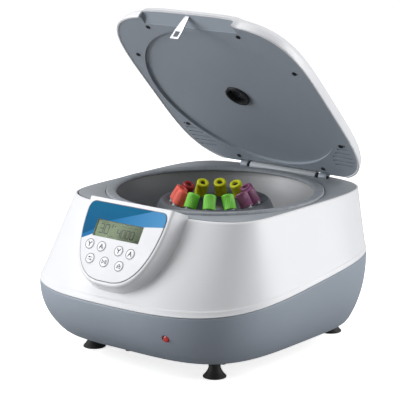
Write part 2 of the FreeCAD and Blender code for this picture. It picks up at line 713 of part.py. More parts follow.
def tube_cap(i):
    """A cap with a stopper inside the tube and a skirt around it."""
    radius, half = dim("cap_r"), dim("cap_len") / 2
    stopper, skirt = dim("tube_r") - 0.95, dim("tube_r") + 0.1
    cap = revolved([
        (0.0, -2.0), (stopper, -2.0), (stopper, 3.0), (stopper, 4.2), (skirt, 4.2),
        (skirt, -half), (radius - 0.5, -half), (radius, -half + 0.8), (radius, half - 1.2),
        (radius - 1.0, half), (4.2, half), (3.6, half - 3.0), (0.0, half - 3.0)])
    cap.Placement = tube_frame(i)
    return cap


def tube_caps():
    for colour, places in CAPS.items():
        keep(feature(Part.makeCompound([tube_cap(i) for i in places])), "caps_" + colour)


# ---------------------------------------------------------------- console pieces
OVERLAY_T = dim("overlay_t")
MODULE_FRONT = -1.2         # behind the display window
BOARD_FRONT = -8.0
BOARD_BACK = -9.6


def panel_overlay():
    overlay = Part.Face(console_wire(0.0, 0.0, 0.0)).extrude(FACE_OUT * OVERLAY_T)
    overlay = overlay.cut(display_box(0, 0, -1, 3))
    for _label, x, down in KEYS:
        overlay = overlay.cut(face_cylinder(x, down, dim("key_r") + 0.05, -1, 3))
    keep(feature(overlay), "panel_overlay")


def display():
    keep(feature(display_box(-0.05, -0.05, MODULE_FRONT, OVERLAY_T)), "display_window")
    module = display_box(0.5, 0.5, -4.5, MODULE_FRONT)
    module = module.fuse(display_box(4, 5, BOARD_FRONT, -4.5))
    keep(feature(module), "display_module")


def control_board():
    board = face_box(-52, 52, 12, 62, BOARD_BACK, BOARD_FRONT)
    board = board.fuse(face_box(-38, 38, 62, 88, BOARD_BACK, BOARD_FRONT))
    # a switch with its button under each key
    for _label, x, down in KEYS:
        board = board.fuse(face_box(x - 3, x + 3, down - 3, down + 3, BOARD_FRONT, -5.2))
        board = board.fuse(face_cylinder(x, down, 1.7, -5.2, -4.2))
    # blocks on the back
    for x, down in ((-30, 50), (20, 52), (30, 72)):
        board = board.fuse(face_box(x - 5, x + 5, down - 4, down + 4, -11.4, BOARD_BACK))
    keep(feature(board), "control_board")


def keys():
    for label, x, down in KEYS:
        key = face_cylinder(x, down, dim("key_r"), -1.4, OVERLAY_T + 0.45)
        keep(feature(key.fuse(face_cylinder(x, down, 2.6, -3.6, -1.4))), label)


# ---------------------------------------------------------------- lid lock
LATCH_W = 19.0
LATCH_LEFT = -LATCH_W / 2
SOLENOID_Y = -155.0         # axis of the solenoid


def pawl_axis_rod(radius, length):
    """A rod along the pawl's pivot, centred on x = 0."""
    return cylinder(radius, length, -length / 2, "Dims.pawl_y", "Dims.pawl_z", TO_RIGHT)


def latch():
    bracket = fuse(box(LATCH_W, 1.5, 66.5, LATCH_LEFT, "Dims.pawl_y + 4.9", 140.0),
                   box(LATCH_W, 25.4, 1.5, LATCH_LEFT, -163.0, 160.2),
                   box(1.5, 10.0, 24.5, LATCH_LEFT, -147.5, 161.6),
                   box(1.5, 10.0, 24.5, 8.0, -147.5, 161.6),
                   box(LATCH_W, 3.8, 1.5, LATCH_LEFT, -139.0, 205.0))
    holes = fuse(cylinder(4.0, 6.0, 0.0, SOLENOID_Y, 158.0),
                 pawl_axis_rod("Dims.pin_r - 1.0", 30.0))
    keep(cut(bracket, holes), "latch_bracket")
    keep(group(pawl_axis_rod("Dims.pin_r - 1.0", 20.0)), "latch_pin")

    # pivot hub, upright arm, hook and lower arm
    pawl = fuse(pawl_axis_rod(4.5, 6.0),
                box(6.0, 6.0, 20.0, -3.0, "Dims.pawl_y - 3.0", "Dims.pawl_z"),
                box(6.0, 6.0, 4.5, -3.0, "Dims.pawl_y - 7.0", "Dims.pawl_z + 13.5"),
                box(6.0, 14.5, 4.0, -3.0, "Dims.pawl_y - 14.5", "Dims.pawl_z - 2.5"))
    keep(cut(pawl, pawl_axis_rod("Dims.pin_r - 0.95", 30.0)), "latch_pawl")


def solenoid():
    keep(cut(box(24.0, 18.0, 32.0, -12.0, SOLENOID_Y - 9.0, 128.2),
             cylinder(3.05, 28.0, 0.0, SOLENOID_Y, 134.2)), "solenoid_body")
    keep(group(cylinder(3.0, 34.0, 0.0, SOLENOID_Y, 138.7)), "solenoid_plunger")


def release_plug():
    plug = turned([(0.0, 0.0), (3.0, 0.0), (3.0, 9.0), ("Dims.plug_r", 9.0),
                   ("Dims.plug_r", 17.2), (4.2, 18.6), (2.2, 19.3), (0.0, 19.5)],
                  "Dims.plug_x", "Dims.plug_z", TO_FRONT)
    keep(plug, "release_plug", "Dims.ofs_y + Dims.plug_y + 18.5")


# ---------------------------------------------------------------- power board
def power_board():
    board_z, thick = 42.0, 1.6
    top = board_z + thick
    standoffs = [cylinder(3.0, board_z - PLATE_TOP, x, y, PLATE_TOP)
                 for y in (-6.0, 82.0) for x in (-146.0, -84.0)]
    keep(fuse(box(70.0, 96.0, thick, -150.0, -10.0, board_z),
              box(20.0, 26.0, 22.0, -146.0, 0.0, top),
              cylinder(9.0, 26.0, -112.0, 14.0, top), cylinder(9.0, 26.0, -112.0, 36.0, top),
              box(8.0, 50.0, 24.0, -94.0, 28.0, top), *standoffs), "power_board")


# ---------------------------------------------------------------- lid (drawn shut)
HINGE_Y = dim("hinge_y")
HINGE_Z = dim("hinge_z")
RIM_Z = dim("lid_rim_z")
NOTCH_HW = dim("notch_hw")
PORT_Y = HINGE_Y - dim("port_reach")

# dome stations: (height above the rim, inset of the outline)
DOME = [(0.0, 0.0), (6.0, 0.4), (12.0, 1.8), (18.0, 6.0), (23.0, 14.5), (27.0, 28.0),
        (30.5, 48.0), (33.0, 72.0), (34.3, 92.0), (34.5, 100.0)]

# screw pairs: (distance from the plane of symmetry, distance in front of the hinge)
LID_SCREWS = [(side * x, HINGE_Y - reach)
              for x, reach in ((76.0, 302.0), (133.0, 236.0), (133.0, 80.0), (74.0, 16.0))
              for side in (-1, 1)]


def lid_points(inset, z, visor):
    """Lid outline; its middle stands forward by visor and fades back at both sides."""
    visor_hw, fade = 84.0, 11.0
    out = []
    for x, y in superellipse("lid", dim("lid_exp"), dim("lid_exp"), inset, LID_POINTS):
        if y < 0:
            share = min(max((visor_hw - abs(x)) / fade, 0.0), 1.0)
            y -= visor * share * share * (3 - 2 * share)
        out.append((x, HINGE_Y - dim("lid_mid") + y, z))
    return out


def dome(inset, drops):
    """Solid dome, inset all round and lowered by a drop at each station from the rim up."""
    return solid_loft([lid_points(station_inset + inset, RIM_Z + height - drop,
                                  dim("visor") * max(0.0, 1 - station_inset / 40.0))
                       for (height, station_inset), drop in zip(DOME, drops)])


def inner_drops(rim_drop, gap, count):
    """Drops that bring in the wall's thickness gradually above the second station."""
    return [rim_drop, 0.0] + [gap + wall * min(1.0, k / 5.0) for k in range(2, count)]


def rear_wedge():
    """The lower rear edge is cut back so that the lid clears the deck when it is open."""
    wedge = Part.makeBox(400, 60, 40, V(-200, 0, -40))
    wedge.Placement = FreeCAD.Placement(V(0, HINGE_Y - 6.0, HINGE_Z + 0.5),
                                        FreeCAD.Rotation(V(1, 0, 0), 40.0))
    return wedge


def hinge_room():
    """Room for the barrel and knuckles, up to 8 mm above the axis."""
    return Part.makeBox(153.0, 60.0, 48.0, V(-76.5, HINGE_Y - 7.5, HINGE_Z + 8.0 - 48.0))


def console_notch():
    """Everything under the sloping roof over the console's top."""
    below = on_top_slope(Part.makeBox(2 * NOTCH_HW, 200, 60, V(-NOTCH_HW, -160, -60)),
                         LID_GAP, 0.0)
    return below.common(Part.makeBox(2 * NOTCH_HW, 60, 60, V(-NOTCH_HW, -137.5 - 60, 180)))


def lid_shell():
    outer = dome(0.0, [0.0] * len(DOME))
    shell = outer.cut(dome(wall, inner_drops(0.5, 0.0, len(DOME))))
    # solid block over the hinge
    shell = shell.fuse(Part.makeBox(160, 24, 40, V(-80, HINGE_Y - 9, HINGE_Z + 8.0)).common(outer))
    shell = shell.cut(rear_wedge()).cut(hinge_room()).cut(console_notch())
    shell = drill(shell, [(0, PORT_Y)], dim("port_r") + 2.0, RIM_Z - 5, 80)
    # screw bosses hanging from the dome down to the liner
    for x, y in LID_SCREWS:
        boss = Part.makeCylinder(3.6, 40, V(x, y, RIM_Z + 3.5))
        boss = boss.cut(Part.makeCylinder(1.5, 13.0, V(x, y, RIM_Z)))
        shell = shell.fuse(boss.common(outer))
    keep_on_lid(feature(shell), "lid_shell")


def lid_liner():
    """Rim plate, recessed disc and the sloping strip over the console."""
    thick = 2.5
    recess_h = 4.0
    base_z = RIM_Z + 1.0
    recess_r, axis_y = dim("recess_r"), dim("axis_y")
    rim = Part.makeBox(400, 420, thick, V(-200, -210, base_z))
    rim = drill(rim, [(0, axis_y)], recess_r, RIM_Z - 5, 30)
    dish = Part.makeCylinder(recess_r + thick, recess_h + thick, V(0, axis_y, base_z))
    dish = drill(dish, [(0, axis_y)], recess_r, base_z, recess_h)
    strip_hw = NOTCH_HW + thick
    strip = Part.makeBox(2 * strip_hw, 60, 40, V(-strip_hw, -135.0 - 60, base_z))
    below = on_top_slope(Part.makeBox(2 * strip_hw, 200, 60, V(-strip_hw, -160, -60)),
                         LID_GAP, thick)
    liner = rim.fuse(dish).fuse(strip.common(below))
    liner = liner.cut(console_notch()).cut(rear_wedge()).cut(hinge_room())
    liner = drill(liner, [(0, PORT_Y)], dim("port_r"), RIM_Z - 5, 80)
    liner = drill(liner, LID_SCREWS, 1.6, RIM_Z - 5, 40)
    # air slots in both rear corners, between the recess and the lid's side
    for side in (-1, 1):
        for i in range(6):
            reach = 33.0 + i * 9.5
            y = HINGE_Y - reach
            near = max(103.0, ((recess_r + 6) ** 2 - (y - axis_y) ** 2) ** 0.5)
            far = 141.0 - max(0.0, 45.0 - reach) * 0.55
            left = min(side * near, side * far)
            liner = liner.cut(Part.makeBox(far - near, 3.0, 20, V(left, y - 1.5, RIM_Z - 5)))
    # it fits inside the lid's wall with a small gap all round
    gap = 0.3
    liner = liner.common(dome(wall + gap, inner_drops(0.0, gap, 7)))
    keep_on_lid(feature(liner), "lid_liner")


def lid_screws():
    keep_on_lid(screws(LID_SCREWS, RIM_Z + 1.0, head_r=3.2, head_h=1.0, shank_r=1.5,
                       shank_len=10.0, recess_r=1.5, recess_h=0.7), "lid_screws")


def sight_port():
    """Tube through the lid with a clear disc."""
    top = RIM_Z + dim("lid_rise")
    lens_z = RIM_Z + 9.0
    rim = turned([(14.5, RIM_Z + 1.4), (17.95, RIM_Z + 1.4), (17.95, RIM_Z + 7.6),
                  (20.0, RIM_Z + 7.6), (20.0, top), (21.6, top), (21.6, top + 1.2),
                  (14.5, top + 1.2), (14.5, top - 1.0), (17.0, top - 1.0), (17.0, lens_z),
                  (14.5, lens_z)])
    lens = turned([(0.0, lens_z), (16.95, lens_z), (16.95, lens_z + 3.0), (0.0, lens_z + 3.0)])
    keep_on_lid(rim, "sight_rim", "Dims.port_reach")
    keep_on_lid(lens, "sight_lens", "Dims.port_reach")


def lid_striker():
    """A tapered blade hanging from the lid, with a window for the pawl's hook."""
    blade = [V(x, dim("lock_y") - 1.0, z) for x, z in (
        (-7.0, 183.5), (7.0, 183.5), (6.5, 198.5), (2.8, 225.5), (-2.8, 225.5), (-6.5, 198.5))]
    striker = feature(Part.Face(Part.makePolygon(blade + [blade[0]])).extrude(V(0, 2.0, 0)))
    window = box(8.0, 6.0, 9.4, -4.0, "Dims.lock_y - 3.0", 186.3)
    # the blade ends at the sloping roof over the console
    slope = FreeCAD.Rotation(V(1, 0, 0), -dim("top_slope"))
    corner = V(0, dim("top_y"), dim("top_z") + LID_GAP) + slope.multVec(V(-20, -30, 0))
    roof = box(40.0, 60.0, 20.0, corner.x, corner.y, corner.z, slope)
    keep_on_lid(cut(striker, fuse(window, roof)), "lid_striker")


# ---------------------------------------------------------------- hinge
BRACKET_Z = 202.8
BRACKET_T = 1.5
BRACKET_TOP = BRACKET_Z + BRACKET_T


def hinge_rod(radius, length, x):
    """A rod along the hinge axis, running right from x."""
    return cylinder(radius, length, x, "Dims.hinge_y", "Dims.hinge_z", TO_RIGHT)


def hinge_block():
    block = fuse(hinge_rod("Dims.bar_r", "Dims.block_hl * 2", "-Dims.block_hl"),
                 box("Dims.block_hl * 2", 9.0, 6.2, "-Dims.block_hl", "Dims.hinge_y - 4.5",
                     BRACKET_TOP))
    keep(cut(block, hinge_rod("Dims.pin_r", 300.0, -150.0)), "hinge_block")
    keep(group(hinge_rod("Dims.pin_r", 152.0, -76.0)), "hinge_pin")


def hinge_bracket():
    """Channel under the deck that carries the hinge block."""
    keep(fuse(box(156.0, 15.0, BRACKET_T, -78.0, 163.6, BRACKET_Z),
              box(156.0, 1.4, 2.2, -78.0, 163.6, BRACKET_TOP),
              box(156.0, 1.4, 2.2, -78.0, 177.2, BRACKET_TOP)), "hinge_bracket")


def hinge_knuckles():
    length = 12.5
    knuckles = []
    for x in (-62.5 - length, 62.5):
        knuckle = fuse(hinge_rod("Dims.barrel_r", length, x),
                       box(length, 7.0, 8.0, x, "Dims.hinge_y - 3.5", "Dims.hinge_z"))
        knuckles.append(cut(knuckle, hinge_rod("Dims.pin_r + 0.05", 20.0, x - 4.0)))
    keep_on_lid(group(*knuckles), "hinge_knuckles")


def hinge_springs():
    """Closely wound coils round the pin, each with a leg standing on the bracket."""
    turns, pitch = 4, 0.9
    length = turns * pitch
    profile = [(3.5, length), (3.5, 0.0)]
    for i in range(turns):
        z = pitch * i
        profile += [(4.0, z), (4.4, z + 0.2), (4.4, z + 0.7)]
    profile.append((4.0, length))
    springs = []
    for x in (58.0, -58.0 - length):
        coil = revolved(profile)
        coil.Placement = FreeCAD.Placement(V(x, HINGE_Y, HINGE_Z), TO_RIGHT)
        leg = Part.makeBox(0.9, 0.9, 2.45, V(x + 1.35, HINGE_Y - 0.45, BRACKET_TOP))
        springs.append(coil.fuse(leg))
    keep(feature(Part.makeCompound(springs)), "hinge_springs")


# ---------------------------------------------------------------- build and export
for build in (upper_shell, lower_shell, deck_panel, chamber_bowl, chamber_gasket,
              base_plate, feet, plate_screws,
              rear_panel, power_inlet, power_switch, fuse_holder, fan,
              motor_mount, motor, rotor, rotor_nut, sample_tubes, tube_caps,
              panel_overlay, display, control_board, keys,
              latch, solenoid, release_plug, power_board,
              lid_shell, lid_liner, lid_screws, sight_port, lid_striker,
              hinge_block, hinge_bracket, hinge_knuckles, hinge_springs):
    build()

doc.recompute()
bad = ["%s (%s) %s" % (obj.Name, obj.Label, obj.State) for obj in doc.Objects
       if "Invalid" in obj.State or "Error" in obj.State]
bad += ["%s has no sound shape" % obj.Label for obj in parts
        if obj.Shape.isNull() or not obj.Shape.isValid() or not obj.Shape.Solids]
if bad:
    raise SystemExit("not written: " + "; ".join(bad))
os.makedirs("parts", exist_ok=True)
for obj in parts:
    obj.Shape.exportStep(os.path.join("parts", obj.Label + ".step"))
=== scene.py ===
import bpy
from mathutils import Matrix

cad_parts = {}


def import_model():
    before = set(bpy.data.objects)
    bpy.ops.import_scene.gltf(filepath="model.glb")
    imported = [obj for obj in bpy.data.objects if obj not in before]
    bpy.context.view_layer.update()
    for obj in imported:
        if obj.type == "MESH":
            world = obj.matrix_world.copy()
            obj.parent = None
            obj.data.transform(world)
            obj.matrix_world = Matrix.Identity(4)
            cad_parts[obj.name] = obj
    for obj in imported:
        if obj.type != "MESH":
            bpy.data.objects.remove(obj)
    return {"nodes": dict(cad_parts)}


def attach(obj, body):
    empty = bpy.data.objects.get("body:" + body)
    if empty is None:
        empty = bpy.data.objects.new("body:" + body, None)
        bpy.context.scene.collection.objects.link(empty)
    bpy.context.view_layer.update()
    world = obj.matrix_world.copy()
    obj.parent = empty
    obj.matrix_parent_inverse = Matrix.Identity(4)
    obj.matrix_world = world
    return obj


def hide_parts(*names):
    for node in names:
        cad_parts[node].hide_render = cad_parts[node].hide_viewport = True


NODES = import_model()["nodes"]

from math import sin, cos, pi, radians, copysign, hypot, atan2

import bpy
import bmesh
from mathutils import Matrix, Vector

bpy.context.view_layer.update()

# ------------------------------------------------------------------ shared dimensions
MM = 0.001
FRAME_Y = 15.2                    # housing origin to frame origin, along Y
AXIS_Y = 14.1                     # rotor and chamber axis
WALL = 2.5                        # housing wall

# Console face: v runs down the face from its top edge, d out of it.
FACE_Y, FACE_Z = -162.0, 217.9    # top edge
FACE_SLOPE = radians(31.0)
FACE_OUT = Vector((0, -cos(FACE_SLOPE), sin(FACE_SLOPE)))
FACE_DOWN = Vector((0, -sin(FACE_SLOPE), -cos(FACE_SLOPE)))

# Sloping roof over the console's top
ROOF_PITCH = radians(23.9)
ROOF_Y, ROOF_Z = -159.3, 223.0

# Lid, as it lies shut
HINGE_Y, HINGE_Z = 171.7, 210.5
RIM_Z = 212.8
LID_TURN = radians(-46.2)


def housing(x, y, z):
    """Housing millimetres to frame metres."""
    return Vector((x * MM, (y + FRAME_Y) * MM, z * MM))


def on_face(x, v, d):
    """Point of the console face, in frame metres."""
    p = Vector((0, FACE_Y, FACE_Z)) + FACE_DOWN * v + FACE_OUT * d
    return housing(x, p.y, p.z)


def on_lid(x, y, z):
    """Point of the shut lid, to where it stands with the lid open."""
    dy, dz = y - HINGE_Y, z - HINGE_Z
    return housing(x, HINGE_Y + dy * cos(LID_TURN) - dz * sin(LID_TURN),
                   HINGE_Z + dy * sin(LID_TURN) + dz * cos(LID_TURN))


# ------------------------------------------------------------------ materials
def linear(rgb):
    """Display colour, 0 to 255, to linear light."""
    return [(v / 255) / 12.92 if v / 255 <= 0.04045 else (((v / 255) + 0.055) / 1.055) ** 2.4
            for v in rgb]


def scaled(colour, gain, add=0.0):
    return [min(1, v * gain + add) for v in colour]


class Shader:
    """Node material with a principled surface."""

    def __init__(self, name):
        self.material = bpy.data.materials.new(name)
        self.material.use_nodes = True
        self.tree = self.material.node_tree
        self.tree.nodes.clear()
        self.output = self.node("ShaderNodeOutputMaterial")
        self.principled = self.node("ShaderNodeBsdfPrincipled")
        self.feed(self.output.inputs[0], self.principled.outputs[0])
        self.coords = None

    def feed(self, socket, value):
        """Gives a socket a number, a colour or a link."""
        if isinstance(value, (int, float)):
            socket.default_value = value
        elif isinstance(value, (list, tuple)):
            socket.default_value = list(value) + [1.0]
        else:
            self.tree.links.new(value, socket)

    def node(self, kind, inputs=None, **settings):
        n = self.tree.nodes.new(kind)
        for key, value in settings.items():
            setattr(n, key, value)
        for key, value in (inputs or {}).items():
            self.feed(n.inputs[key], value)
        return n

    def surface(self, inputs):
        for key, value in inputs.items():
            self.feed(self.principled.inputs[key], value)

    def position(self):
        """Object coordinates, from one shared node."""
        if self.coords is None:
            self.coords = self.node("ShaderNodeTexCoord").outputs["Object"]
        return self.coords

    def xyz(self):
        return self.node("ShaderNodeSeparateXYZ", {0: self.position()}).outputs

    def noise(self, scale, detail, rough=0.5, vector=None):
        if vector is None:
            vector = self.position()
        inputs = {"Scale": scale, "Detail": detail, "Roughness": rough, "Vector": vector}
        return self.node("ShaderNodeTexNoise", inputs).outputs["Fac"]

    def ramp(self, factor, *stops):
        """Colour ramp between two (position, colour) stops."""
        n = self.node("ShaderNodeValToRGB", {0: factor})
        for element, (position, colour) in zip(n.color_ramp.elements, stops):
            element.position = position
            element.color = list(colour) + [1.0]
        return n.outputs[0]

    def math(self, operation, a, b=None, clamp=False):
        inputs = {0: a} if b is None else {0: a, 1: b}
        return self.node("ShaderNodeMath", inputs, operation=operation, use_clamp=clamp).outputs[0]

    def remap(self, value, source, target, kind="LINEAR"):
        """Maps the span source onto the span target."""
        inputs = {"Value": value, "From Min": source[0], "From Max": source[1],
                  "To Min": target[0], "To Max": target[1]}
        return self.node("ShaderNodeMapRange", inputs, interpolation_type=kind).outputs["Result"]

    def mix(self, factor, a, b):
        inputs = {"Factor": factor, 6: a, 7: b}
        return self.node("ShaderNodeMix", inputs, data_type="RGBA").outputs[2]

    def bump(self, height, strength, distance, normal=None):
        inputs = {"Strength": strength, "Distance": distance, "Height": height}
        if normal is not None:
            inputs["Normal"] = normal
        return self.node("ShaderNodeBump", inputs).outputs[0]


def plastic(name, rgb, rough, grain, scale, drift, specular, wear=0.0, coat=0.0, hollow_shade=0.0):
    """Moulded plastic: fine texture, slow colour drift, uneven gloss, paler rubbed edges, painted
    shade in hollows.
    """
    s = Shader(name)
    base = linear(rgb)
    colour = s.ramp(s.noise(scale=14.0, detail=4.0, rough=0.6),
                    (0.25, scaled(base, 1 - drift)), (0.75, scaled(base, 1 + drift)))
    # painted shade: the colour turns to a darker copy of itself where ambient occlusion finds
    # hollows and crevices
    if hollow_shade:
        occlusion = s.node("ShaderNodeAmbientOcclusion", {"Distance": 0.006}, samples=4)
        amount = s.remap(occlusion.outputs["AO"], source=(0.35, 0.95), target=(hollow_shade, 0.0))
        colour = s.mix(amount, colour, scaled(base, 0.35))
    if wear:
        geometry = s.node("ShaderNodeNewGeometry")
        scratches = s.noise(scale=160.0, detail=5.0, rough=0.7)
        edges = s.remap(geometry.outputs["Pointiness"], source=(0.52, 0.60), target=(0.0, 1.0))
        amount = s.math("MULTIPLY", s.math("MULTIPLY", edges, scratches), wear)
        colour = s.mix(amount, colour, scaled(base, 1.35, add=0.04))
    if coat:
        s.surface({"Coat Weight": coat, "Coat Roughness": 0.12})
    texture = s.bump(s.noise(scale, detail=2.0), strength=grain, distance=0.00006)
    ripple = s.noise(scale=38.0, detail=2.0)
    s.surface({
        "Base Color": colour,
        "Roughness": s.remap(s.noise(scale=55.0, detail=5.0, rough=0.65),
                             source=(0.2, 0.8), target=(rough - 0.07, rough + 0.08)),
        "Specular IOR Level": specular,
        "Normal": s.bump(ripple, strength=0.05, distance=0.0006, normal=texture)})
    return s.material


def metal(name, rgb, rough, brush, scale, metallic):
    """Bare metal with fine marks, stretched by brush."""
    s = Shader(name)
    base = linear(rgb)
    mapping = s.node("ShaderNodeMapping", {0: s.position()})
    mapping.inputs["Scale"].default_value = brush
    marks = s.noise(scale, detail=4.0, rough=0.6, vector=mapping.outputs[0])
    s.surface({
        "Base Color": s.ramp(marks, (0.3, scaled(base, 1 - 0.06)), (0.7, scaled(base, 1 + 0.06))),
        "Metallic": metallic,
        "Roughness": s.remap(s.noise(scale=60.0, detail=5.0, rough=0.7),
                             source=(0.25, 0.75), target=(rough - 0.06, rough + 0.1)),
        "Normal": s.bump(marks, strength=0.15, distance=0.00008)})
    return s.material


def rubber(name, rgb, rough):
    s = Shader(name)
    base = linear(rgb)
    s.surface({
        "Base Color": s.ramp(s.noise(scale=90.0, detail=5.0, rough=0.7),
                             (0.3, scaled(base, 0.85)), (0.75, scaled(base, 1.25, add=0.004))),
        "Roughness": s.remap(s.noise(scale=40.0, detail=4.0, rough=0.6),
                             source=(0.2, 0.8), target=(rough - 0.08, rough + 0.08)),
        "Specular IOR Level": 0.3,
        "Normal": s.bump(s.noise(scale=1500.0, detail=2.0), strength=0.3, distance=0.00008)})
    return s.material


def clear(name, rgb, alpha, rough):
    """Clear moulding: see-through with a surface reflection and faint scuffs."""
    s = Shader(name)
    s.surface({
        "Base Color": linear(rgb),
        "Roughness": s.remap(s.noise(scale=220.0, detail=6.0, rough=0.75),
                             source=(0.3, 0.8), target=(rough, rough + 0.16)),
        "Normal": s.bump(s.noise(scale=30.0, detail=2.0), strength=0.06, distance=0.0004)})
    through = s.node("ShaderNodeBsdfTransparent")
    fresnel = s.node("ShaderNodeFresnel", {"IOR": 1.35})
    cover = s.math("ADD", fresnel.outputs[0], alpha, clamp=True)
    blend = s.node("ShaderNodeMixShader",
                   {0: cover, 1: through.outputs[0], 2: s.principled.outputs[0]})
    s.feed(s.output.inputs[0], blend.outputs[0])
    return s.material


def spun(name, rgb, rough):
    """Sheet turned on a lathe: fine rings round the chamber axis."""
    s = Shader(name)
    x, y, z = s.xyz()
    from_axis = s.math("SUBTRACT", y, (AXIS_Y + FRAME_Y) * MM)
    squares = s.math("ADD", s.math("POWER", x, 2.0), s.math("POWER", from_axis, 2.0))
    radius = s.math("SQRT", squares)
    stretch_out, stretch_up = 1.0, 1.0      # of the rings, along the radius and the height
    point = s.node("ShaderNodeCombineXYZ", {0: s.math("MULTIPLY", radius, stretch_out),
                                            1: s.math("MULTIPLY", z, stretch_up)})
    rings = s.noise(scale=900.0, detail=4.0, vector=point.outputs[0])
    base = linear(rgb)
    s.surface({
        "Base Color": s.ramp(rings, (0.3, scaled(base, 0.96)), (0.7, scaled(base, 1.03))),
        "Metallic": 0.35,
        "Roughness": s.remap(s.noise(scale=30.0, detail=4.0, rough=0.6),
                             source=(0.2, 0.8), target=(rough - 0.06, rough + 0.08)),
        "Normal": s.bump(rings, strength=0.10, distance=0.0001)})
    return s.material


def overlay_print(name):
    """Printed film: deep blue at the top, a pale blue band below it, white beneath."""
    s = Shader(name)
    x, y, z = (s.math("MULTIPLY", axis, 1000.0) for axis in s.xyz())
    from_y = s.math("SUBTRACT", y, FACE_Y + FRAME_Y)
    from_z = s.math("SUBTRACT", z, FACE_Z)
    v = s.math("ADD", s.math("MULTIPLY", from_y, -sin(FACE_SLOPE)),
               s.math("MULTIPLY", from_z, -cos(FACE_SLOPE)))
    left = s.remap(x, source=(-44.0, -43.3), target=(1.0, 0.0), kind="SMOOTHSTEP")
    soft = 0.35                             # half width of a printed edge, in millimetres

    def above(slope, drop):
        """1 where v + slope * x is less than drop."""
        line = s.math("ADD", v, s.math("MULTIPLY", x, slope))
        return s.remap(s.math("SUBTRACT", line, drop), source=(-soft, soft), target=(1.0, 0.0),
                       kind="SMOOTHSTEP")

    def region(right_line, left_line):
        """Above one line right of the display's left edge, and above another left of it."""
        right_part = s.math("MULTIPLY", above(*right_line), s.math("SUBTRACT", 1.0, left))
        left_part = s.math("MULTIPLY", left, above(*left_line))
        return s.math("ADD", right_part, left_part, clamp=True)

    white = s.ramp(s.noise(scale=40.0, detail=3.0),
                   (0.3, linear((228, 229, 233))), (0.7, linear((234, 235, 239))))
    deep = s.mix(s.remap(v, source=(0.0, 48.0), target=(0.0, 1.0)),
                 linear((0, 98, 138)), linear((0, 84, 130)))
    pale = s.mix(s.remap(x, source=(-20.0, 62.0), target=(0.0, 1.0)),
                 linear((24, 112, 166)), linear((80, 146, 196)))
    # each line is (slope, drop)
    colour = s.mix(region(right_line=(0.138, 27.6), left_line=(0.51, 21.8)), white, pale)
    colour = s.mix(region(right_line=(0.346, 14.4), left_line=(0.58, 11.7)), colour, deep)
    s.surface({
        "Base Color": colour,
        "Roughness": s.remap(s.noise(scale=80.0, detail=5.0, rough=0.7),
                             source=(0.2, 0.8), target=(0.38, 0.50)),
        "Specular IOR Level": 0.06,
        "Normal": s.bump(s.noise(scale=1800.0, detail=2.0), strength=0.16, distance=0.00005)})
    return s.material


# colour, roughness, grain strength, grain scale, colour drift, specular; then wear, coat, painted
# shade in hollows
PLASTICS = {
    "shell_white": ((224, 225, 228), 0.34, 0.30, 2400.0, 0.012, 0.45, 0.25),
    "shell_grey": ((150, 159, 170), 0.42, 0.45, 2000.0, 0.03, 0.4, 0.3),
    "deck_grey": ((152, 157, 163), 0.40, 0.40, 2200.0, 0.03, 0.4),
    "liner_grey": ((150, 159, 169), 0.40, 0.40, 2200.0, 0.03, 0.4),
    "hinge_paint": ((172, 177, 183), 0.42, 0.5, 1500.0, 0.03, 0.45, 0.4),
    "rear_paint": ((150, 154, 160), 0.5, 0.9, 1300.0, 0.03, 0.35, 0.4),
    "black_plastic": ((34, 35, 37), 0.42, 0.5, 1800.0, 0.08, 0.4, 0.5),
    "rocker_black": ((26, 27, 29), 0.25, 0.2, 1800.0, 0.06, 0.5, 0.6, 0.3),
    "rotor_dark": ((88, 92, 98), 0.38, 0.4, 1500.0, 0.05, 0.5, 0.6),
    "lcd_green": ((104, 134, 76), 0.35, 0.1, 900.0, 0.03, 0.4),
    "lcd_ink": ((16, 22, 12), 0.4, 0.1, 900.0, 0.05, 0.3),
    "board_green": ((26, 92, 58), 0.4, 0.5, 600.0, 0.12, 0.5),
    "key_film": ((231, 232, 236), 0.28, 0.16, 1800.0, 0.01, 0.45),
    "key_print": ((44, 47, 54), 0.4, 0.2, 1500.0, 0.05, 0.3),
    "key_ring": ((92, 95, 102), 0.4, 0.2, 1500.0, 0.05, 0.3),
    "plug_red": ((188, 44, 48), 0.28, 0.2, 1500.0, 0.05, 0.5, 0.0, 0.2),
    # the caps' last number is painted shade, darkening their grooves and rims
    "cap_purple": ((134, 74, 112), 0.34, 0.3, 1500.0, 0.06, 0.45, 0.4, 0.0, 0.5),
    "cap_yellow": ((214, 218, 28), 0.32, 0.3, 1500.0, 0.05, 0.45, 0.3, 0.0, 0.5),
    "cap_coral": ((236, 96, 78), 0.34, 0.3, 1500.0, 0.05, 0.45, 0.3, 0.0, 0.5),
    "cap_red": ((158, 40, 42), 0.34, 0.3, 1500.0, 0.06, 0.45, 0.4, 0.0, 0.5),
    "cap_green": ((118, 206, 62), 0.34, 0.3, 1500.0, 0.05, 0.45, 0.3, 0.0, 0.5),
    "panel_edge": ((112, 115, 122), 0.5, 0.3, 1500.0, 0.05, 0.3),
    "joint_shadow": ((40, 42, 46), 0.7, 0.3, 900.0, 0.1, 0.2),
}
# colour, roughness, stretch of the marks along x, y, z, their scale, metallic
METALS = {
    "zinc_steel": ((186, 187, 186), 0.38, (1, 6, 1), 900.0, 1.0),
    "screw_steel": ((70, 72, 76), 0.4, (1, 1, 1), 700.0, 1.0),
    "striker_satin": ((214, 217, 222), 0.42, (8, 1, 1), 900.0, 0.55),
    "pin_ground": ((205, 206, 208), 0.22, (10, 1, 1), 900.0, 1.0),
    "nut_alu": ((206, 208, 212), 0.3, (1, 1, 10), 900.0, 1.0),
}
# colour, roughness
RUBBERS = {
    "seal_rubber": ((138, 143, 149), 0.5),
    "foot_rubber": ((46, 46, 47), 0.6),
    "cap_stopper": ((58, 54, 52), 0.6),
}
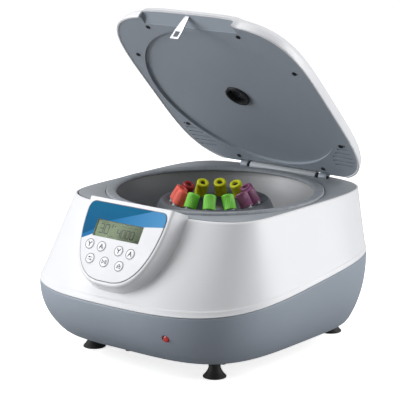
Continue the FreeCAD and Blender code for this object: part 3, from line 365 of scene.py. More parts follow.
# colour, opacity facing the viewer, roughness
CLEARS = {
    "tube_clear": ((228, 234, 238), 0.22, 0.06),
    "lens_clear": ((70, 74, 78), 0.62, 0.06),
    "display_glass": ((214, 222, 205), 0.05, 0.08),
}
MATERIALS = {name: make(name, *row)
             for make, table in ((plastic, PLASTICS), (metal, METALS), (rubber, RUBBERS),
                                 (clear, CLEARS))
             for name, row in table.items()}
MATERIALS["bowl_spun"] = spun("bowl_spun", rgb=(186, 188, 191), rough=0.56)
MATERIALS["overlay_print"] = overlay_print("overlay_print")

# ------------------------------------------------------------------ loaded pieces
# material: the pieces that wear it; keys wear key_film, and the rest zinc_steel
WEARERS = {
    "shell_white": "upper_shell lid_shell", "shell_grey": "lower_shell",
    "deck_grey": "deck_panel", "liner_grey": "lid_liner hinge_knuckles",
    "bowl_spun": "chamber_bowl", "seal_rubber": "chamber_gasket shaft_boot motor_dampers",
    "foot_rubber": "foot_pads", "pin_ground": "motor_shaft latch_pin solenoid_plunger",
    "striker_satin": "lid_striker", "screw_steel": "foot_screws plate_screws lid_screws",
    "hinge_paint": "hinge_block", "joint_shadow": "hinge_pin hinge_springs",
    "rear_paint": "rear_panel motor_housing",
    "black_plastic": "power_inlet switch_frame fuse_holder fan_frame fan_rotor sight_rim",
    "rocker_black": "power_rocker", "rotor_dark": "rotor", "nut_alu": "rotor_nut",
    "tube_clear": "sample_tubes", "cap_purple": "caps_purple", "cap_yellow": "caps_yellow",
    "cap_coral": "caps_coral", "cap_red": "caps_red", "cap_green": "caps_green",
    "overlay_print": "panel_overlay", "display_glass": "display_window",
    "lcd_green": "display_module", "board_green": "control_board power_board",
    "plug_red": "release_plug", "lens_clear": "sight_lens",
}
MATERIAL_OF = {piece: name for name, pieces in WEARERS.items() for piece in pieces.split()}

# edge rounding in metres, where it isn't the usual one
USUAL_ROUNDING = 0.0004
KEY_ROUNDING = 0.0003
ROUNDING = {
    "hinge_springs": 0.0, "control_board": 0.0001, "fan_rotor": 0.0, "lid_screws": 0.0001,
    "sample_tubes": 0.0, "foot_screws": 0.0001, "plate_screws": 0.0001,
    "display_window": 0.0001, "panel_overlay": 0.0002, "latch_pin": 0.0001,
    "upper_shell": 0.0, "lower_shell": 0.0, "lid_shell": 0.0, "lid_liner": 0.0,
    "chamber_gasket": 0.0, "rotor": 0.0005, "base_plate": 0.0002,
}


def round_edges(o, width, angle):
    bevel = o.modifiers.new("round", "BEVEL")
    bevel.width = width
    bevel.segments = 2
    bevel.limit_method = "ANGLE"
    bevel.angle_limit = angle
    bevel.use_clamp_overlap = True


def dress_piece(o, material, rounding):
    """Joins the facets' shared corners, rounds sharp edges and shades the curves smooth."""
    sharp = radians(32.0)
    o.data.materials.clear()
    o.data.materials.append(material)
    if "custom_normal" in o.data.attributes:
        o.data.attributes.remove(o.data.attributes["custom_normal"])
    o.data.shade_smooth()
    o.modifiers.new("weld", "WELD").merge_threshold = 0.000002
    if rounding:
        round_edges(o, rounding, sharp)
    o.modifiers.new("split", "EDGE_SPLIT").split_angle = sharp


def dress_pieces():
    for name, o in NODES.items():
        if name.startswith("key_"):
            dress_piece(o, MATERIALS["key_film"], KEY_ROUNDING)
        else:
            dress_piece(o, MATERIALS[MATERIAL_OF.get(name, "zinc_steel")],
                        ROUNDING.get(name, USUAL_ROUNDING))


# ------------------------------------------------------------------ mesh helpers
def clean_mesh(mesh, weld=None, degenerate=None):
    """Merges points and drops slivers within the given distances, and turns faces outward."""
    bm = bmesh.new()
    bm.from_mesh(mesh)
    if weld:
        bmesh.ops.remove_doubles(bm, verts=bm.verts, dist=weld)
    if degenerate:
        bmesh.ops.dissolve_degenerate(bm, edges=bm.edges, dist=degenerate)
    bmesh.ops.recalc_face_normals(bm, faces=bm.faces)
    bm.to_mesh(mesh)
    bm.free()


def add_object(name, data):
    o = bpy.data.objects.new(name, data)
    bpy.context.scene.collection.objects.link(o)
    return o


def shape(name, verts, faces):
    """Bare object for carving."""
    mesh = bpy.data.meshes.new(name)
    mesh.from_pydata([tuple(v) for v in verts], [], faces)
    clean_mesh(mesh)
    return add_object(name, mesh)


def detail(name, verts, faces, material, body, slot):
    """Finished small part riding on a body."""
    mesh = bpy.data.meshes.new(name)
    mesh.from_pydata([tuple(v) for v in verts], [], faces)
    mesh.validate()
    clean_mesh(mesh, weld=1e-7)
    mesh.shade_smooth()
    mesh.set_sharp_from_angle(angle=radians(38.0))
    mesh.materials.append(MATERIALS[material])
    o = add_object(name, mesh)
    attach(o, body)
    return o


def join(parts):
    """One (verts, faces) pair from several."""
    verts, faces = [], []
    for part_verts, part_faces in parts:
        start = len(verts)
        verts += part_verts
        faces += [tuple(start + i for i in face) for face in part_faces]
    return verts, faces


def lathe(profile, frame, segments, rib=None):
    """Turns (radius, height) pairs about the frame's z; radius 0 closes to a point."""
    verts, faces, rings = [], [], []
    for radius, z in profile:
        start = len(verts)
        if radius < 1e-6:
            verts.append(frame @ Vector((0, 0, z * MM)))
        else:
            for i in range(segments):
                a = 2 * pi * i / segments
                r = radius - (rib(i, z) if rib else 0.0)
                verts.append(frame @ Vector((r * cos(a) * MM, r * sin(a) * MM, z * MM)))
        rings.append(range(start, len(verts)))
    for a, b in zip(rings, rings[1:]):
        for i in range(segments):
            j = (i + 1) % segments
            if len(a) == 1:
                faces.append((a[0], b[i], b[j]))
            elif len(b) == 1:
                faces.append((a[i], b[0], a[j]))
            else:
                faces.append((a[i], a[j], b[j], b[i]))
    return verts, faces


def solid(name, rows, capped=False, place=housing):
    """Skin over closed rows of points; capped at both ends, or closed on its first row."""
    n = len(rows[0])
    count = len(rows)
    faces = []
    for a in range(count - 1 if capped else count):
        b = (a + 1) % count
        for i in range(n):
            j = (i + 1) % n
            faces.append((a * n + i, a * n + j, b * n + j, b * n + i))
    if capped:
        faces.append(tuple(range(n)))
        faces.append(tuple(reversed(range((count - 1) * n, count * n))))
    return shape(name, [place(*p) for row in rows for p in row], faces)


def box(place, x0, x1, y0, y1, z0, z1):
    """Cutting box in the coordinates that place understands."""
    verts = [place(x, y, z) for z in (z0, z1)
             for x, y in ((x0, y0), (x1, y0), (x1, y1), (x0, y1))]
    return shape("tool", verts, [(3, 2, 1, 0), (4, 5, 6, 7), (0, 1, 5, 4), (1, 2, 6, 5),
                                 (2, 3, 7, 6), (3, 0, 4, 7)])


def rod(radius, frame, length):
    """Cutting cylinder along the frame's z."""
    profile = [(0.0, 0.0), (radius, 0.0), (radius, length), (0.0, length)]
    return shape("tool", *lathe(profile, frame, 64))


def carve(o, tools, operation="DIFFERENCE"):
    """Applies the tools one after another and removes them."""
    for tool in tools:
        cut = o.modifiers.new("cut", "BOOLEAN")
        cut.operation = operation
        cut.solver = "EXACT"
        cut.object = tool
        bpy.context.view_layer.update()
        graph = bpy.context.evaluated_depsgraph_get()
        carved = bpy.data.meshes.new_from_object(o.evaluated_get(graph))
        o.modifiers.clear()
        plain = o.data
        o.data = carved
        bpy.data.meshes.remove(plain)
        tool_mesh = tool.data
        bpy.data.objects.remove(tool)
        bpy.data.meshes.remove(tool_mesh)


def finish_piece(o, material, body, node, rounding, angle=36.0):
    """Cleans and shades a carved piece and puts it in the place of a loaded one."""
    o.data.name = o.name
    o.data.materials.clear()
    o.data.materials.append(MATERIALS[material])
    clean_mesh(o.data, weld=2e-6, degenerate=1e-6)
    o.data.shade_smooth()
    o.data.set_sharp_from_angle(angle=radians(angle))
    if rounding:
        round_edges(o, rounding, radians(angle))
    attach(o, body)
    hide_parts(node)


def smooth_curve(points, steps):
    """Catmull-Rom curve through the points."""
    out = []
    last = len(points) - 1
    for i in range(last):
        four = (points[max(i - 1, 0)], points[i], points[i + 1], points[min(i + 2, last)])
        for k in range(steps):
            t = k / steps
            out.append(tuple(0.5 * (2 * b + (c - a) * t + (2 * a - 5 * b + 4 * c - d) * t * t
                                    + (3 * b - a - 3 * c + d) * t ** 3)
                             for a, b, c, d in zip(*four)))
    out.append(points[-1])
    return out


# ------------------------------------------------------------------ caps
PLACES = 12
PLACE_RADIUS, PLACE_Z = 50.0, 202.5
PLACE_TILT = radians(31.0)
CAP_SETS = {"purple": [0, 1, 2], "yellow": [3, 4, 5], "coral": [7, 8], "red": [6],
            "green": [9, 10, 11]}
# (radius, height), from the underside round the outside to the bottom of the top hole
CAP_PROFILE = [
    (5.4, -1.9), (6.55, -2.6), (6.55, -10.0), (7.2, -10.45), (8.0, -10.45), (8.4, -10.1),
    (8.5, -9.4), (8.5, -8.9), (8.5, -8.5), (8.5, 0.0), (8.5, 7.8), (8.5, 8.2), (8.5, 9.0),
    (8.35, 9.8), (7.9, 10.3), (7.3, 10.5), (5.2, 10.5), (4.5, 10.35), (4.15, 9.9),
    (3.95, 8.6), (3.7, 7.6), (0.0, 7.45)]
STOPPER_PROFILE = [(0.0, 7.5), (3.62, 7.5), (3.66, 7.75), (3.3, 7.95), (0.9, 7.8), (0.0, 7.7)]
CAP_SEGMENTS, STOPPER_SEGMENTS = 96, 48


def place_frame(i):
    """Frame of one rotor place: z along the tube, leaning in to the axis."""
    a = 2 * pi * i / PLACES
    centre = housing(PLACE_RADIUS * cos(a), AXIS_Y + PLACE_RADIUS * sin(a), PLACE_Z)
    tube = Vector((-sin(PLACE_TILT) * cos(a), -sin(PLACE_TILT) * sin(a), cos(PLACE_TILT)))
    return Matrix.Translation(centre) @ tube.to_track_quat("Z", "Y").to_matrix().to_4x4()


def groove(i, z):
    """Depth of the grip grooves: two points in four."""
    return 0.42 if -8.6 < z < 7.9 and i % 4 in (0, 1) else 0.0


def build_caps():
    underside = [CAP_PROFILE[0], (0.0, CAP_PROFILE[0][1])]
    for colour, places in CAP_SETS.items():
        parts = []
        for i in places:
            parts.append(lathe(CAP_PROFILE, place_frame(i), CAP_SEGMENTS, groove))
            parts.append(lathe(underside, place_frame(i), CAP_SEGMENTS))
        o = detail("cap_set_" + colour, *join(parts), "cap_" + colour, "rotor_assembly",
                   "cap_" + colour)
        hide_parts("caps_" + colour)
    # rubber seen down each cap's hole
    stoppers = [lathe(STOPPER_PROFILE, place_frame(i), STOPPER_SEGMENTS) for i in range(PLACES)]
    detail("cap_stoppers", *join(stoppers), "cap_stopper", "rotor_assembly", "seal_rubber")


# ------------------------------------------------------------------ key print and display
# piece, x and v of its centre
KEYS = [("key_time_down", -42.5, 57.7), ("key_time_up", -22.2, 58.3),
        ("key_speed_down", 7.9, 59.8), ("key_speed_up", 27.7, 60.7),
        ("key_mode", -33.8, 76.5), ("key_start", -9.2, 77.5), ("key_open", 16.6, 79.1)]
KEY_TOP = 1.25                    # out from the console face
KEY_INK = 0.05                    # thickness of the print
RING_INNER, RING_OUTER = 6.15, 7.0
# bars (x0, y0, x1, y1, width) about the key's centre, y up the face
GLYPHS = {
    "down": [(-2.6, 3.0, 0, -0.4, 1.3), (2.6, 3.0, 0, -0.4, 1.3), (0, -0.3, 0, -3.0, 1.3)],
    "up": [(-2.6, -3.0, 0, 3.0, 1.3), (2.6, -3.0, 0, 3.0, 1.3), (-1.5, -0.9, 1.5, -0.9, 1.0)],
    "mode": [(-3.2, 1.6, 3.2, 1.6, 0.9), (-3.2, -1.6, 3.2, -1.6, 0.9),
             (-1.2, 1.6, -1.2, 1.6, 2.2), (1.2, -1.6, 1.2, -1.6, 2.2)],
    "start": [(-3.2, 2.4, -3.2, -2.4, 0.9), (-3.2, 2.4, -0.2, 0.0, 0.9),
              (-3.2, -2.4, -0.2, 0.0, 0.9), (1.5, 2.2, 1.5, -2.2, 1.1),
              (3.3, 2.2, 3.3, -2.2, 1.1)],
    "open": [(-3.0, -2.4, 3.0, -2.4, 1.0), (-2.8, -0.5, 0.0, 2.6, 1.0),
             (2.8, -0.5, 0.0, 2.6, 1.0), (-2.8, -0.5, 2.8, -0.5, 1.0)],
}
DISPLAY_D = -1.17                 # printed characters, behind the console face
DISPLAY_INK = 0.04
# text, x and v of the first digit's centre, digit height
READINGS = [("30", -34.0, 34.0, 12.0), ("4000", -4.0, 36.5, 10.5)]
# seven-segment bars (x0, y0, x1, y1) in quarters of the digit's height
SEGMENTS = {"a": (-1, 2, 1, 2), "b": (1, 2, 1, 0), "c": (1, 0, 1, -2), "d": (-1, -2, 1, -2),
            "e": (-1, 0, -1, -2), "f": (-1, 2, -1, 0), "g": (-1, 0, 1, 0)}
DIGITS = {"0": "abcdef", "1": "bc", "2": "abged", "3": "abgcd", "4": "fgbc", "5": "afgcd",
          "6": "afgedc", "7": "abc", "8": "abcdefg", "9": "abfgcd"}
# small bars on the display, (x0, y0, x1, y1, width), y being -v
MARKS = [(-36.5, -25.6, -31.0, -25.6, 0.6), (-29.0, -25.6, -24.0, -25.6, 0.6),
         (-2.0, -27.0, 4.0, -27.0, 0.6), (8.0, -27.0, 14.0, -27.0, 0.6),
         (18.0, -27.0, 26.0, -27.0, 0.6), (-17.0, -27.5, -17.0, -31.0, 1.6),
         (-14.0, -29.0, -12.5, -29.0, 1.6), (-18.0, -42.8, -12.0, -42.8, 0.7),
         (26.0, -42.6, 30.5, -42.6, 0.7)]


def face_frame(x, v, d):
    """Local x to the right, local y up the console face, local z out of it."""
    turn = Matrix((Vector((1, 0, 0)), -FACE_DOWN, FACE_OUT)).transposed().to_4x4()
    return Matrix.Translation(on_face(x, v, d)) @ turn


def slab(outline, frame, height):
    """Thin prism on a frame."""
    n = len(outline)
    verts = [frame @ Vector((x * MM, y * MM, z)) for z in (0, height * MM) for x, y in outline]
    faces = [tuple(reversed(range(n))), tuple(range(n, 2 * n))]
    faces += [(i, (i + 1) % n, n + (i + 1) % n, n + i) for i in range(n)]
    return verts, faces


def bars(items, frame, height):
    """Round-ended bars from (x0, y0, x1, y1, width)."""
    parts = []
    for x0, y0, x1, y1, width in items:
        half = hypot(x1 - x0, y1 - y0) / 2
        a = atan2(y1 - y0, x1 - x0)
        outline = []
        for end, start in ((half, -pi / 2), (-half, pi / 2)):
            for k in range(7):
                q = start + pi * k / 6
                px, py = end + width / 2 * cos(q), width / 2 * sin(q)
                outline.append(((x0 + x1) / 2 + px * cos(a) - py * sin(a),
                                (y0 + y1) / 2 + px * sin(a) + py * cos(a)))
        parts.append(slab(outline, frame, height))
    return join(parts)


def digit(character, frame, height):
    unit = height / 4.0
    shrink = 0.84                 # leaves a gap between neighbouring bars
    items = []
    for segment in DIGITS[character]:
        x0, y0, x1, y1 = SEGMENTS[segment]
        cx, cy = (x0 + x1) / 2, (y0 + y1) / 2
        items.append(((cx + (x0 - cx) * shrink) * unit, (cy + (y0 - cy) * shrink) * unit,
                      (cx + (x1 - cx) * shrink) * unit, (cy + (y1 - cy) * shrink) * unit,
                      unit * 0.5))
    return bars(items, frame, DISPLAY_INK)


def build_key_print():
    ring = [(RING_INNER, 0.0), (RING_OUTER, 0.0), (RING_OUTER, KEY_INK), (RING_INNER, KEY_INK),
            (RING_INNER, 0.0)]
    for name, x, v in KEYS:
        top = face_frame(x, v, KEY_TOP)
        glyph = GLYPHS[name.split("_")[-1]]
        detail("glyph_" + name, *bars(glyph, top, KEY_INK), "key_print", name, "key_film")
        detail("ring_" + name, *lathe(ring, top, 72), "key_ring", name, "key_film")


def build_display():
    parts = [digit(character, face_frame(x + k * (height * 0.72), v, DISPLAY_D), height)
             for text, x, v, height in READINGS for k, character in enumerate(text)]
    parts.append(bars(MARKS, face_frame(0, 0, DISPLAY_D), DISPLAY_INK))
    detail("display_digits", *join(parts), "lcd_ink", "base", "display_lcd")


# ------------------------------------------------------------------ housing rows
ROW_POINTS = 288
SEAM_HALF_WIDTH, SEAM_FRONT, SEAM_BACK = 190.0, 203.0, 179.2
SEAM_Z, SEAM_RISE = 117.3, 0.1021           # height at y = 0, and rise per unit of y
SEAM_GAP = 0.15                             # each shell's edge, from the seam
FRONT_BOW = 12.0                            # swell of the middle of the front
FLOOR_Z = 29.0
DECK_HALF_WIDTH, DECK_FRONT, DECK_BACK, DECK_Z = 155.0, 132.0, 184.0, 209.5


def around(front_power, back_power, count):
    """Points of a unit superellipse with its own power at the front and at the back."""
    def eased(value):
        return copysign(abs(value) ** 0.72, value) if value else 0.0

    out = []
    for i in range(count):
        t = 2 * pi * (i + 0.5) / count
        c, s = eased(cos(t)), eased(sin(t))
        n = front_power if s < 0 else back_power
        r = (abs(c) ** n + abs(s) ** n) ** (-1 / n)
        out.append((c * r, s * r))
    return out


def seam_row(inset, dz):
    out = []
    for c, s in around(3.58, 3.58, ROW_POINTS):
        x = (SEAM_HALF_WIDTH - inset) * c
        y = ((SEAM_FRONT if s < 0 else SEAM_BACK) - inset) * s
        z = SEAM_Z + SEAM_RISE * y
        if y < 0:
            bow = (y / SEAM_FRONT) ** 2 * (1 - (x / SEAM_HALF_WIDTH) ** 2) ** 2
            y -= FRONT_BOW * bow
            z += 2.2 * bow
        out.append((x, y, z + dz))
    return out


def floor_row(inset=0.0, z=FLOOR_Z):
    return [((160.3 - inset) * c, ((174.7 if s < 0 else 170.8) - inset) * s, z)
            for c, s in around(3.81, 3.81, ROW_POINTS)]


def deck_row(inset, z=DECK_Z):
    out = []
    for c, s in around(5.3, 5.0, ROW_POINTS):
        x = (DECK_HALF_WIDTH - inset) * c
        y = ((DECK_FRONT if s < 0 else DECK_BACK) - inset) * s
        if y < 0:
            y -= FRONT_BOW * (y / DECK_FRONT) ** 2 * (1 - (x / SEAM_HALF_WIDTH) ** 2) ** 2
        out.append((x, y, z))
    return out


def between(a, b, k, t):
    """Plan moved by k, height by t, from row a to row b."""
    return [(p[0] + (q[0] - p[0]) * k, p[1] + (q[1] - p[1]) * k, p[2] + (q[2] - p[2]) * t)
            for p, q in zip(a, b)]


def lift(row, dz):
    return [(x, y, z + dz) for x, y, z in row]


def lower_row(t, inset=0.0):
    """Row of the curved-in tub, t of the way down from the seam."""
    return between(seam_row(inset, -SEAM_GAP), floor_row(inset), t ** 2.37, t)


def upper_row(t, inset=0.0, dz=0.0):
    """Row of the upper shell, t of the way up from the seam."""
    return lift(between(seam_row(inset, SEAM_GAP), deck_row(inset), t, t), dz)


# ------------------------------------------------------------------ lower shell
# (x, y) of the holes in the floor
LARGE_HOLES = [(-104.5, -117.6), (104.5, -117.6), (-104.5, 142.6), (104.5, 142.6)]
SMALL_HOLES = [(-131, -134), (0, -167), (131, -134), (-131, 130), (0, 163), (131, 130)]


def build_lower():
    """Curved-in tub with an inward flange at the floor."""
    flange, flange_top, steps = 14.0, 32.0, 22
    rows = [seam_row(1.7, -SEAM_GAP), seam_row(0.7, -0.22),
            lift(seam_row(0.15, -SEAM_GAP), -0.45)]
    rows += [lower_row(t) for t in [0.012] + [i / steps for i in range(1, steps)]]
    rows += [lift(floor_row(), 1.0), floor_row(0.45, 29.25), floor_row(1.2),
             floor_row(flange), floor_row(flange, flange_top), floor_row(WALL, flange_top)]
    rows += [lower_row(i / steps, WALL) for i in reversed(range(steps))]
    o = solid("lower_housing", rows)

    # wide opening at the back, round hole in the front, holes in the floor
    along_y = Matrix.Rotation(radians(-90), 4, "X")
    tools = [box(housing, -80, 80, 165, 185, 54, 102),
             rod(5.1, Matrix.Translation(housing(91.0, -215.0, 67.9)) @ along_y, 30)]
    for radius, places in ((9.0, LARGE_HOLES), (2.3, SMALL_HOLES)):
        for x, y in places:
            frame = Matrix.Translation(housing(x, y, 24))
            if radius < 5:
                tools.append(small_rod(radius, frame))
            else:
                tools.append(rod(radius, frame, 12))
    carve(o, tools)
    finish_piece(o, "shell_grey", "base", "lower_shell", rounding=0.0004)


def small_rod(radius, frame):
    """Cutting cylinder of 32 sides for the small floor holes."""
    return shape("tool", *lathe([(0.0, 0.0), (radius, 0.0), (radius, 12), (0.0, 12)], frame, 32))


# ------------------------------------------------------------------ console
# (v, half width) down the right-hand edge of the printed sheet
PANEL = [(0.0, 64.8), (10.0, 65.3), (25.0, 64.6), (40.0, 62.6), (55.0, 59.2), (68.0, 54.6),
         (79.0, 49.0), (88.0, 42.0), (95.0, 33.5), (99.6, 24.0), (102.0, 12.0)]
WINDOW = (-43.6, 34.4, 23.0, 46.0)          # x and v of the display opening in the sheet
CUT_OUT = 3.0                               # how far cuts reach out of the face


def panel_edge(grow):
    """(x, v) of the PANEL stations after the first, moved outward by grow."""
    out = []
    for before, (v, width), after in zip(PANEL, PANEL[1:], PANEL[2:] + PANEL[-1:]):
        tv, tx = after[0] - before[0], after[1] - before[1]
        length = hypot(tv, tx)
        out.append((width + grow * tv / length, v - grow * tx / length))
    return out


def mirrored(half):
    return half + [(-x, v) for x, v in reversed(half)]


def console_row(grow, d):
    """Outline of the console at depth d, run on past the top of the face."""
    edge = panel_edge(grow)
    half = [(edge[0][0], -30.0)] + edge
    return [(x, v, d) for x, v in smooth_curve(mirrored(half), 5)]


def above_roof(drop):
    """Everything above the sloping roof, lowered by drop."""
    normal = Vector((0, sin(ROOF_PITCH), cos(ROOF_PITCH)))
    back = Vector((0, cos(ROOF_PITCH), -sin(ROOF_PITCH)))
    origin = housing(0, ROOF_Y, ROOF_Z) - normal * drop * MM

    def on_roof(x, y, z):
        return origin + Vector((1, 0, 0)) * x + back * y + normal * z

    return box(on_roof, -0.2, 0.2, -0.2, 0.2, 0.0, 0.12)


def above_deck(inset, z):
    return solid("tool", [deck_row(inset, z), deck_row(inset, 260.0)], capped=True)


def console_body():
    """Rounded rim, then a hollow flank that runs out onto the shell."""
    margin, rim = 6.0, 4.2
    rows = []
    for k in range(7):
        q = pi / 2 * k / 6
        rows.append(console_row(margin - rim * (1 - sin(q)), -rim * (1 - cos(q))))
    for depth in (7.0, 10.0, 13.0, 16.0, 19.0, 22.0, 26.0):
        rows.append(console_row(margin + 5.0 * ((depth - rim) / 18.0) ** 2.0, -depth))
    rows += [console_row(margin + 10.0, -30.0), console_row(margin + 10.0, -42.0)]
    o = solid("tool", rows, capped=True, place=on_face)
    carve(o, [above_roof(0.0), above_deck(1.55, 205.6)])
    core = [upper_row(0.17, 1.35), upper_row(0.6, 1.3), upper_row(1.0, 1.25),
            deck_row(1.25, 213.7)]
    carve(o, [solid("tool", core, capped=True)])
    return o


def console_cavity():
    """Flaring hollow behind the face."""
    rows = [console_row(3.6 + 8.0 * i / 8, -WALL - 57.5 * i / 8) for i in range(9)]
    o = solid("tool", rows, capped=True, place=on_face)
    carve(o, [above_roof(2.53), above_deck(-0.4, 206.3)])
    return o


def face_cuts(window_grow, window_d, key_radius, key_d):
    """Tools for the display opening and the key holes, starting at the given depths."""
    x0, x1, v0, v1 = WINDOW
    tools = [box(on_face, x0 - window_grow, x1 + window_grow, v0 - window_grow,
                 v1 + window_grow, window_d, CUT_OUT)]
    return tools + [rod(key_radius, face_frame(x, v, key_d), CUT_OUT - key_d)
                    for _name, x, v in KEYS]


def build_upper():
    """Upper shell with the console."""
    rows = [seam_row(1.8, SEAM_GAP), seam_row(0.7, 0.22)]
    # (t, inset, lift) up the low step above the seam
    rows += [upper_row(*station) for station in (
        (0.0, 0.15, 0.5), (0.0, 0.0, 1.2), (0.03,), (0.055,), (0.066, 0.05), (0.072, 0.5),
        (0.08, 0.62))]
    rows += [upper_row(t, 0.62 * (1 - t * 0.6)) for t in [0.12 + 0.08 * i for i in range(11)]]
    rows += [upper_row(0.975, 0.25), upper_row(0.99, 0.2), lift(deck_row(0.45), -0.3),
             deck_row(0.95), deck_row(2.1), deck_row(WALL, 209.2)]
    rows += [upper_row(1 - 0.1 * i, WALL) for i in range(1, 11)]
    o = solid("upper_housing", rows)
    carve(o, [console_body()], "UNION")
    slot = box(housing, -9.5, 9.5, -155.5, -149.1, 200, 240)    # just behind the console face
    window, *keys = face_cuts(window_grow=1.0, window_d=-6, key_radius=7.6, key_d=-6.0)
    carve(o, [console_cavity(), window, slot] + keys)
    finish_piece(o, "shell_white", "base", "upper_shell", rounding=0.0007)


def sheet_row(grow, d):
    """Outline of the printed sheet, with a rounded upper corner on each side."""
    half_width, corner = 64.6, 8.5
    arc = [(half_width - corner + (corner + grow) * sin(pi / 2 * k / 8),
            corner - (corner + grow) * cos(pi / 2 * k / 8)) for k in range(8)]
    half = arc + smooth_curve([arc[-1]] + panel_edge(grow), 5)[3:]
    return [(x, v, d) for x, v in mirrored(half)]


def build_sheet():
    # (grow, d) of the rows
    rows = [sheet_row(*row) for row in ((-0.25, 0.8), (0.0, 0.62), (0.0, 0.0), (-0.5, 0.0))]
    o = solid("overlay_sheet", rows, capped=True, place=on_face)
    carve(o, face_cuts(window_grow=0.0, window_d=-2, key_radius=7.25, key_d=-3.0))
    finish_piece(o, "overlay_print", "base", "panel_overlay", rounding=0.0,
                 angle=20.0)

    # narrow dark border round the sheet
    rows = [sheet_row(*row) for row in ((0.05, -0.1), (0.05, 0.3), (0.25, 0.38),
                                        (0.75, 0.38), (0.95, 0.3), (0.95, -0.1))]
    border = solid("panel_edge", rows, place=on_face)
    border.data.materials.append(MATERIALS["panel_edge"])
    border.data.shade_smooth()
    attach(border, "base")


# ------------------------------------------------------------------ lid
LID_POINTS = 360
# (height above the rim, inset) from the rim to the top
DOME = smooth_curve([(0.9, 0.0), (6.0, 0.4), (12.0, 1.8), (18.0, 6.0), (23.0, 14.5),
                     (27.0, 28.0), (30.5, 48.0), (32.7, 72.0), (33.9, 98.0), (34.4, 122.0),
                     (34.5, 134.0)], 3)


def lid_row(inset, height):
    """Outline of the lid, with a shallow visor at the front that fades inward."""
    n = 4.1 - 1.6 * min(1.0, inset / 140.0)
    out = []
    for c, s in around(n, n, LID_POINTS):
        x = (156.0 - inset) * c
        y = ((166.0 if s < 0 else 168.0) - inset) * s
        if s < 0:
            q = min(max((84.0 - abs(x)) / 11.0, 0.0), 1.0)
            y -= 5.0 * max(0.0, 1 - inset / 40.0) * q * q * (3 - 2 * q)
        out.append((x, HINGE_Y - 160.0 + y, RIM_Z + height))
    return out


def hole_row(radius, height):
    """Circle of the hole in the top of the lid."""
    return [(radius * c / hypot(c, s), HINGE_Y - 163.0 + radius * s / hypot(c, s),
             RIM_Z + height) for c, s in around(2.0, 2.0, LID_POINTS)]


def below_back_slope():
    """What lies under a plane that rises to the back from near the hinge."""
    a = radians(40.0)

    def on_slope(x, y, z):
        return on_lid(x, HINGE_Y - 6.0 + y * cos(a) - z * sin(a),
                      HINGE_Z + 0.5 + y * sin(a) + z * cos(a))

    return box(on_slope, -200, 200, -20, 60, -40.0, 0.0)


def below_roof():
    """Prism that clears the sloping roof over the console's top."""
    clearance = 1.2

    def under(x, y, top):
        roof = (ROOF_Z + clearance / cos(ROOF_PITCH)
                - (y - ROOF_Y) * (sin(ROOF_PITCH) / cos(ROOF_PITCH)))
        return on_lid(x, y, roof if top else 180.0)

    return box(under, -77.5, 77.5, -197.5, -137.5, False, True)


def build_lid():
    rows = [lid_row(1.9, 0.0), lid_row(0.8, 0.0), lid_row(0.2, 0.25)]
    rows += [lid_row(inset, height) for height, inset in DOME]
    rows += [hole_row(20.4, 34.5), hole_row(20.0, 34.1), hole_row(20.0, 32.0)]
    inner = [(height, inset) for height, inset in DOME if height > 6.5][:-2]
    rows += [lid_row(inset + WALL, height - WALL * min(1.0, height / 20.0))
             for height, inset in reversed(inner)]
    rows += [lid_row(2.9, 5.0), lid_row(WALL, 0.6)]
    o = solid("lid_cover", rows, place=on_lid)
    # solid bar across the back, then the cuts under it and at the front
    carve(o, [box(on_lid, -79.5, 79.5, HINGE_Y - 9.0, HINGE_Y + 2.0, HINGE_Z + 8.0, 225.0)],
          "UNION")
    carve(o, [below_back_slope(),
              box(on_lid, -76.5, 76.5, HINGE_Y - 7.5, HINGE_Y + 52.0, HINGE_Z - 40.0,
                  HINGE_Z + 8.0),
              below_roof()])
    finish_piece(o, "shell_white", "lid", "lid_shell", rounding=0.0006)


# ------------------------------------------------------------------ stage, lights, camera
# metres and watts: name, place, aim, width, height, power
LIGHTS = [
    ("front_left", (-1.7, -1.8, 1.5), (0, 0, 0.15), 1.3, 1.3, 33.0),
    ("front_low", (-1.8, -1.9, 0.4), (0, 0, 0.25), 1.2, 0.6, 25.0),
    ("right_side", (1.85, 1.55, 1.2), (0, 0, 0.15), 1.4, 1.4, 38.0),
    ("right_low", (2.2, 1.3, 0.32), (0, 0, 0.2), 1.2, 0.5, 17.0),
    ("top", (-0.8, -0.3, 2.2), (0, 0.0, 0.15), 1.6, 1.6, 26.0),
]


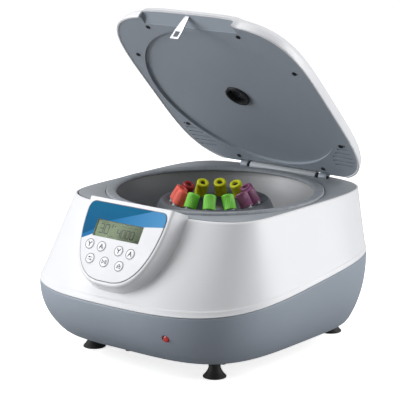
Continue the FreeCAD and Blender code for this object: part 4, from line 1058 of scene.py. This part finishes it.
def build_floor():
    """Pale floor, brighter to the camera than to the light it bounces."""
    half, z = 3.4, -0.0002
    mesh = bpy.data.meshes.new("floor")
    mesh.from_pydata([(-half, -half, z), (half, -half, z), (half, half, z), (-half, half, z)],
                     [], [(0, 1, 2, 3)])
    floor = add_object("floor", mesh)
    s = Shader("floor_pale")
    seen = s.node("ShaderNodeLightPath").outputs["Is Camera Ray"]
    s.surface({
        "Base Color": s.mix(seen, linear((150, 150, 152)), linear((250, 250, 251))),
        "Roughness": 0.85,
        "Emission Color": (1, 1, 1),
        "Emission Strength": s.remap(seen, source=(0.0, 1.0), target=(0.0, 0.72))})
    mesh.materials.append(s.material)


def build_world():
    """White surroundings, dimmer as light than as seen."""
    world = bpy.data.worlds.new("studio")
    bpy.context.scene.world = world
    world.use_nodes = True
    tree = world.node_tree
    background = tree.nodes["Background"]
    background.inputs[0].default_value = (1.0, 1.0, 1.0, 1.0)
    background.inputs[1].default_value = 0.8      # level if the link below is taken away
    path = tree.nodes.new("ShaderNodeLightPath")
    level = tree.nodes.new("ShaderNodeMapRange")
    level.inputs["To Min"].default_value = 0.27
    level.inputs["To Max"].default_value = 1.0
    tree.links.new(path.outputs["Is Camera Ray"], level.inputs["Value"])
    tree.links.new(level.outputs["Result"], background.inputs[1])


def build_lights():
    for name, place, aim, width, height, power in LIGHTS:
        light = bpy.data.lights.new(name, "AREA")
        light.shape = "RECTANGLE"
        light.size = width
        light.size_y = height
        light.energy = power
        o = add_object(name, light)
        o.location = place
        o.rotation_mode = "QUATERNION"
        o.rotation_quaternion = (Vector(aim) - Vector(place)).to_track_quat("-Z", "Y")


def build_camera():
    azimuth, elevation, distance = radians(39.08), radians(13.04), 2.51967
    camera = bpy.data.cameras.new("camera")
    o = add_object("camera", camera)
    back = Vector((sin(azimuth) * cos(elevation), -cos(azimuth) * cos(elevation),
                   sin(elevation)))
    right = Vector((cos(azimuth), sin(azimuth), 0))
    o.location = housing(-1.64, -28.12, 202.13) + back * distance
    o.rotation_mode = "QUATERNION"
    axes = Matrix((right, back.cross(right), back))
    o.rotation_quaternion = axes.transposed().to_quaternion()
    camera.sensor_width = 36.0
    camera.lens = 168.94
    camera.shift_x = 0.01365
    camera.shift_y = 0.0016
    camera.clip_end = 60.0
    bpy.context.scene.camera = o
    bpy.context.scene.view_settings.view_transform = "Standard"


dress_pieces()
build_caps()
build_key_print()
build_display()
build_lower()
build_upper()
build_sheet()
build_lid()
build_floor()
build_world()
build_lights()
build_camera()

bpy.context.view_layer.update()
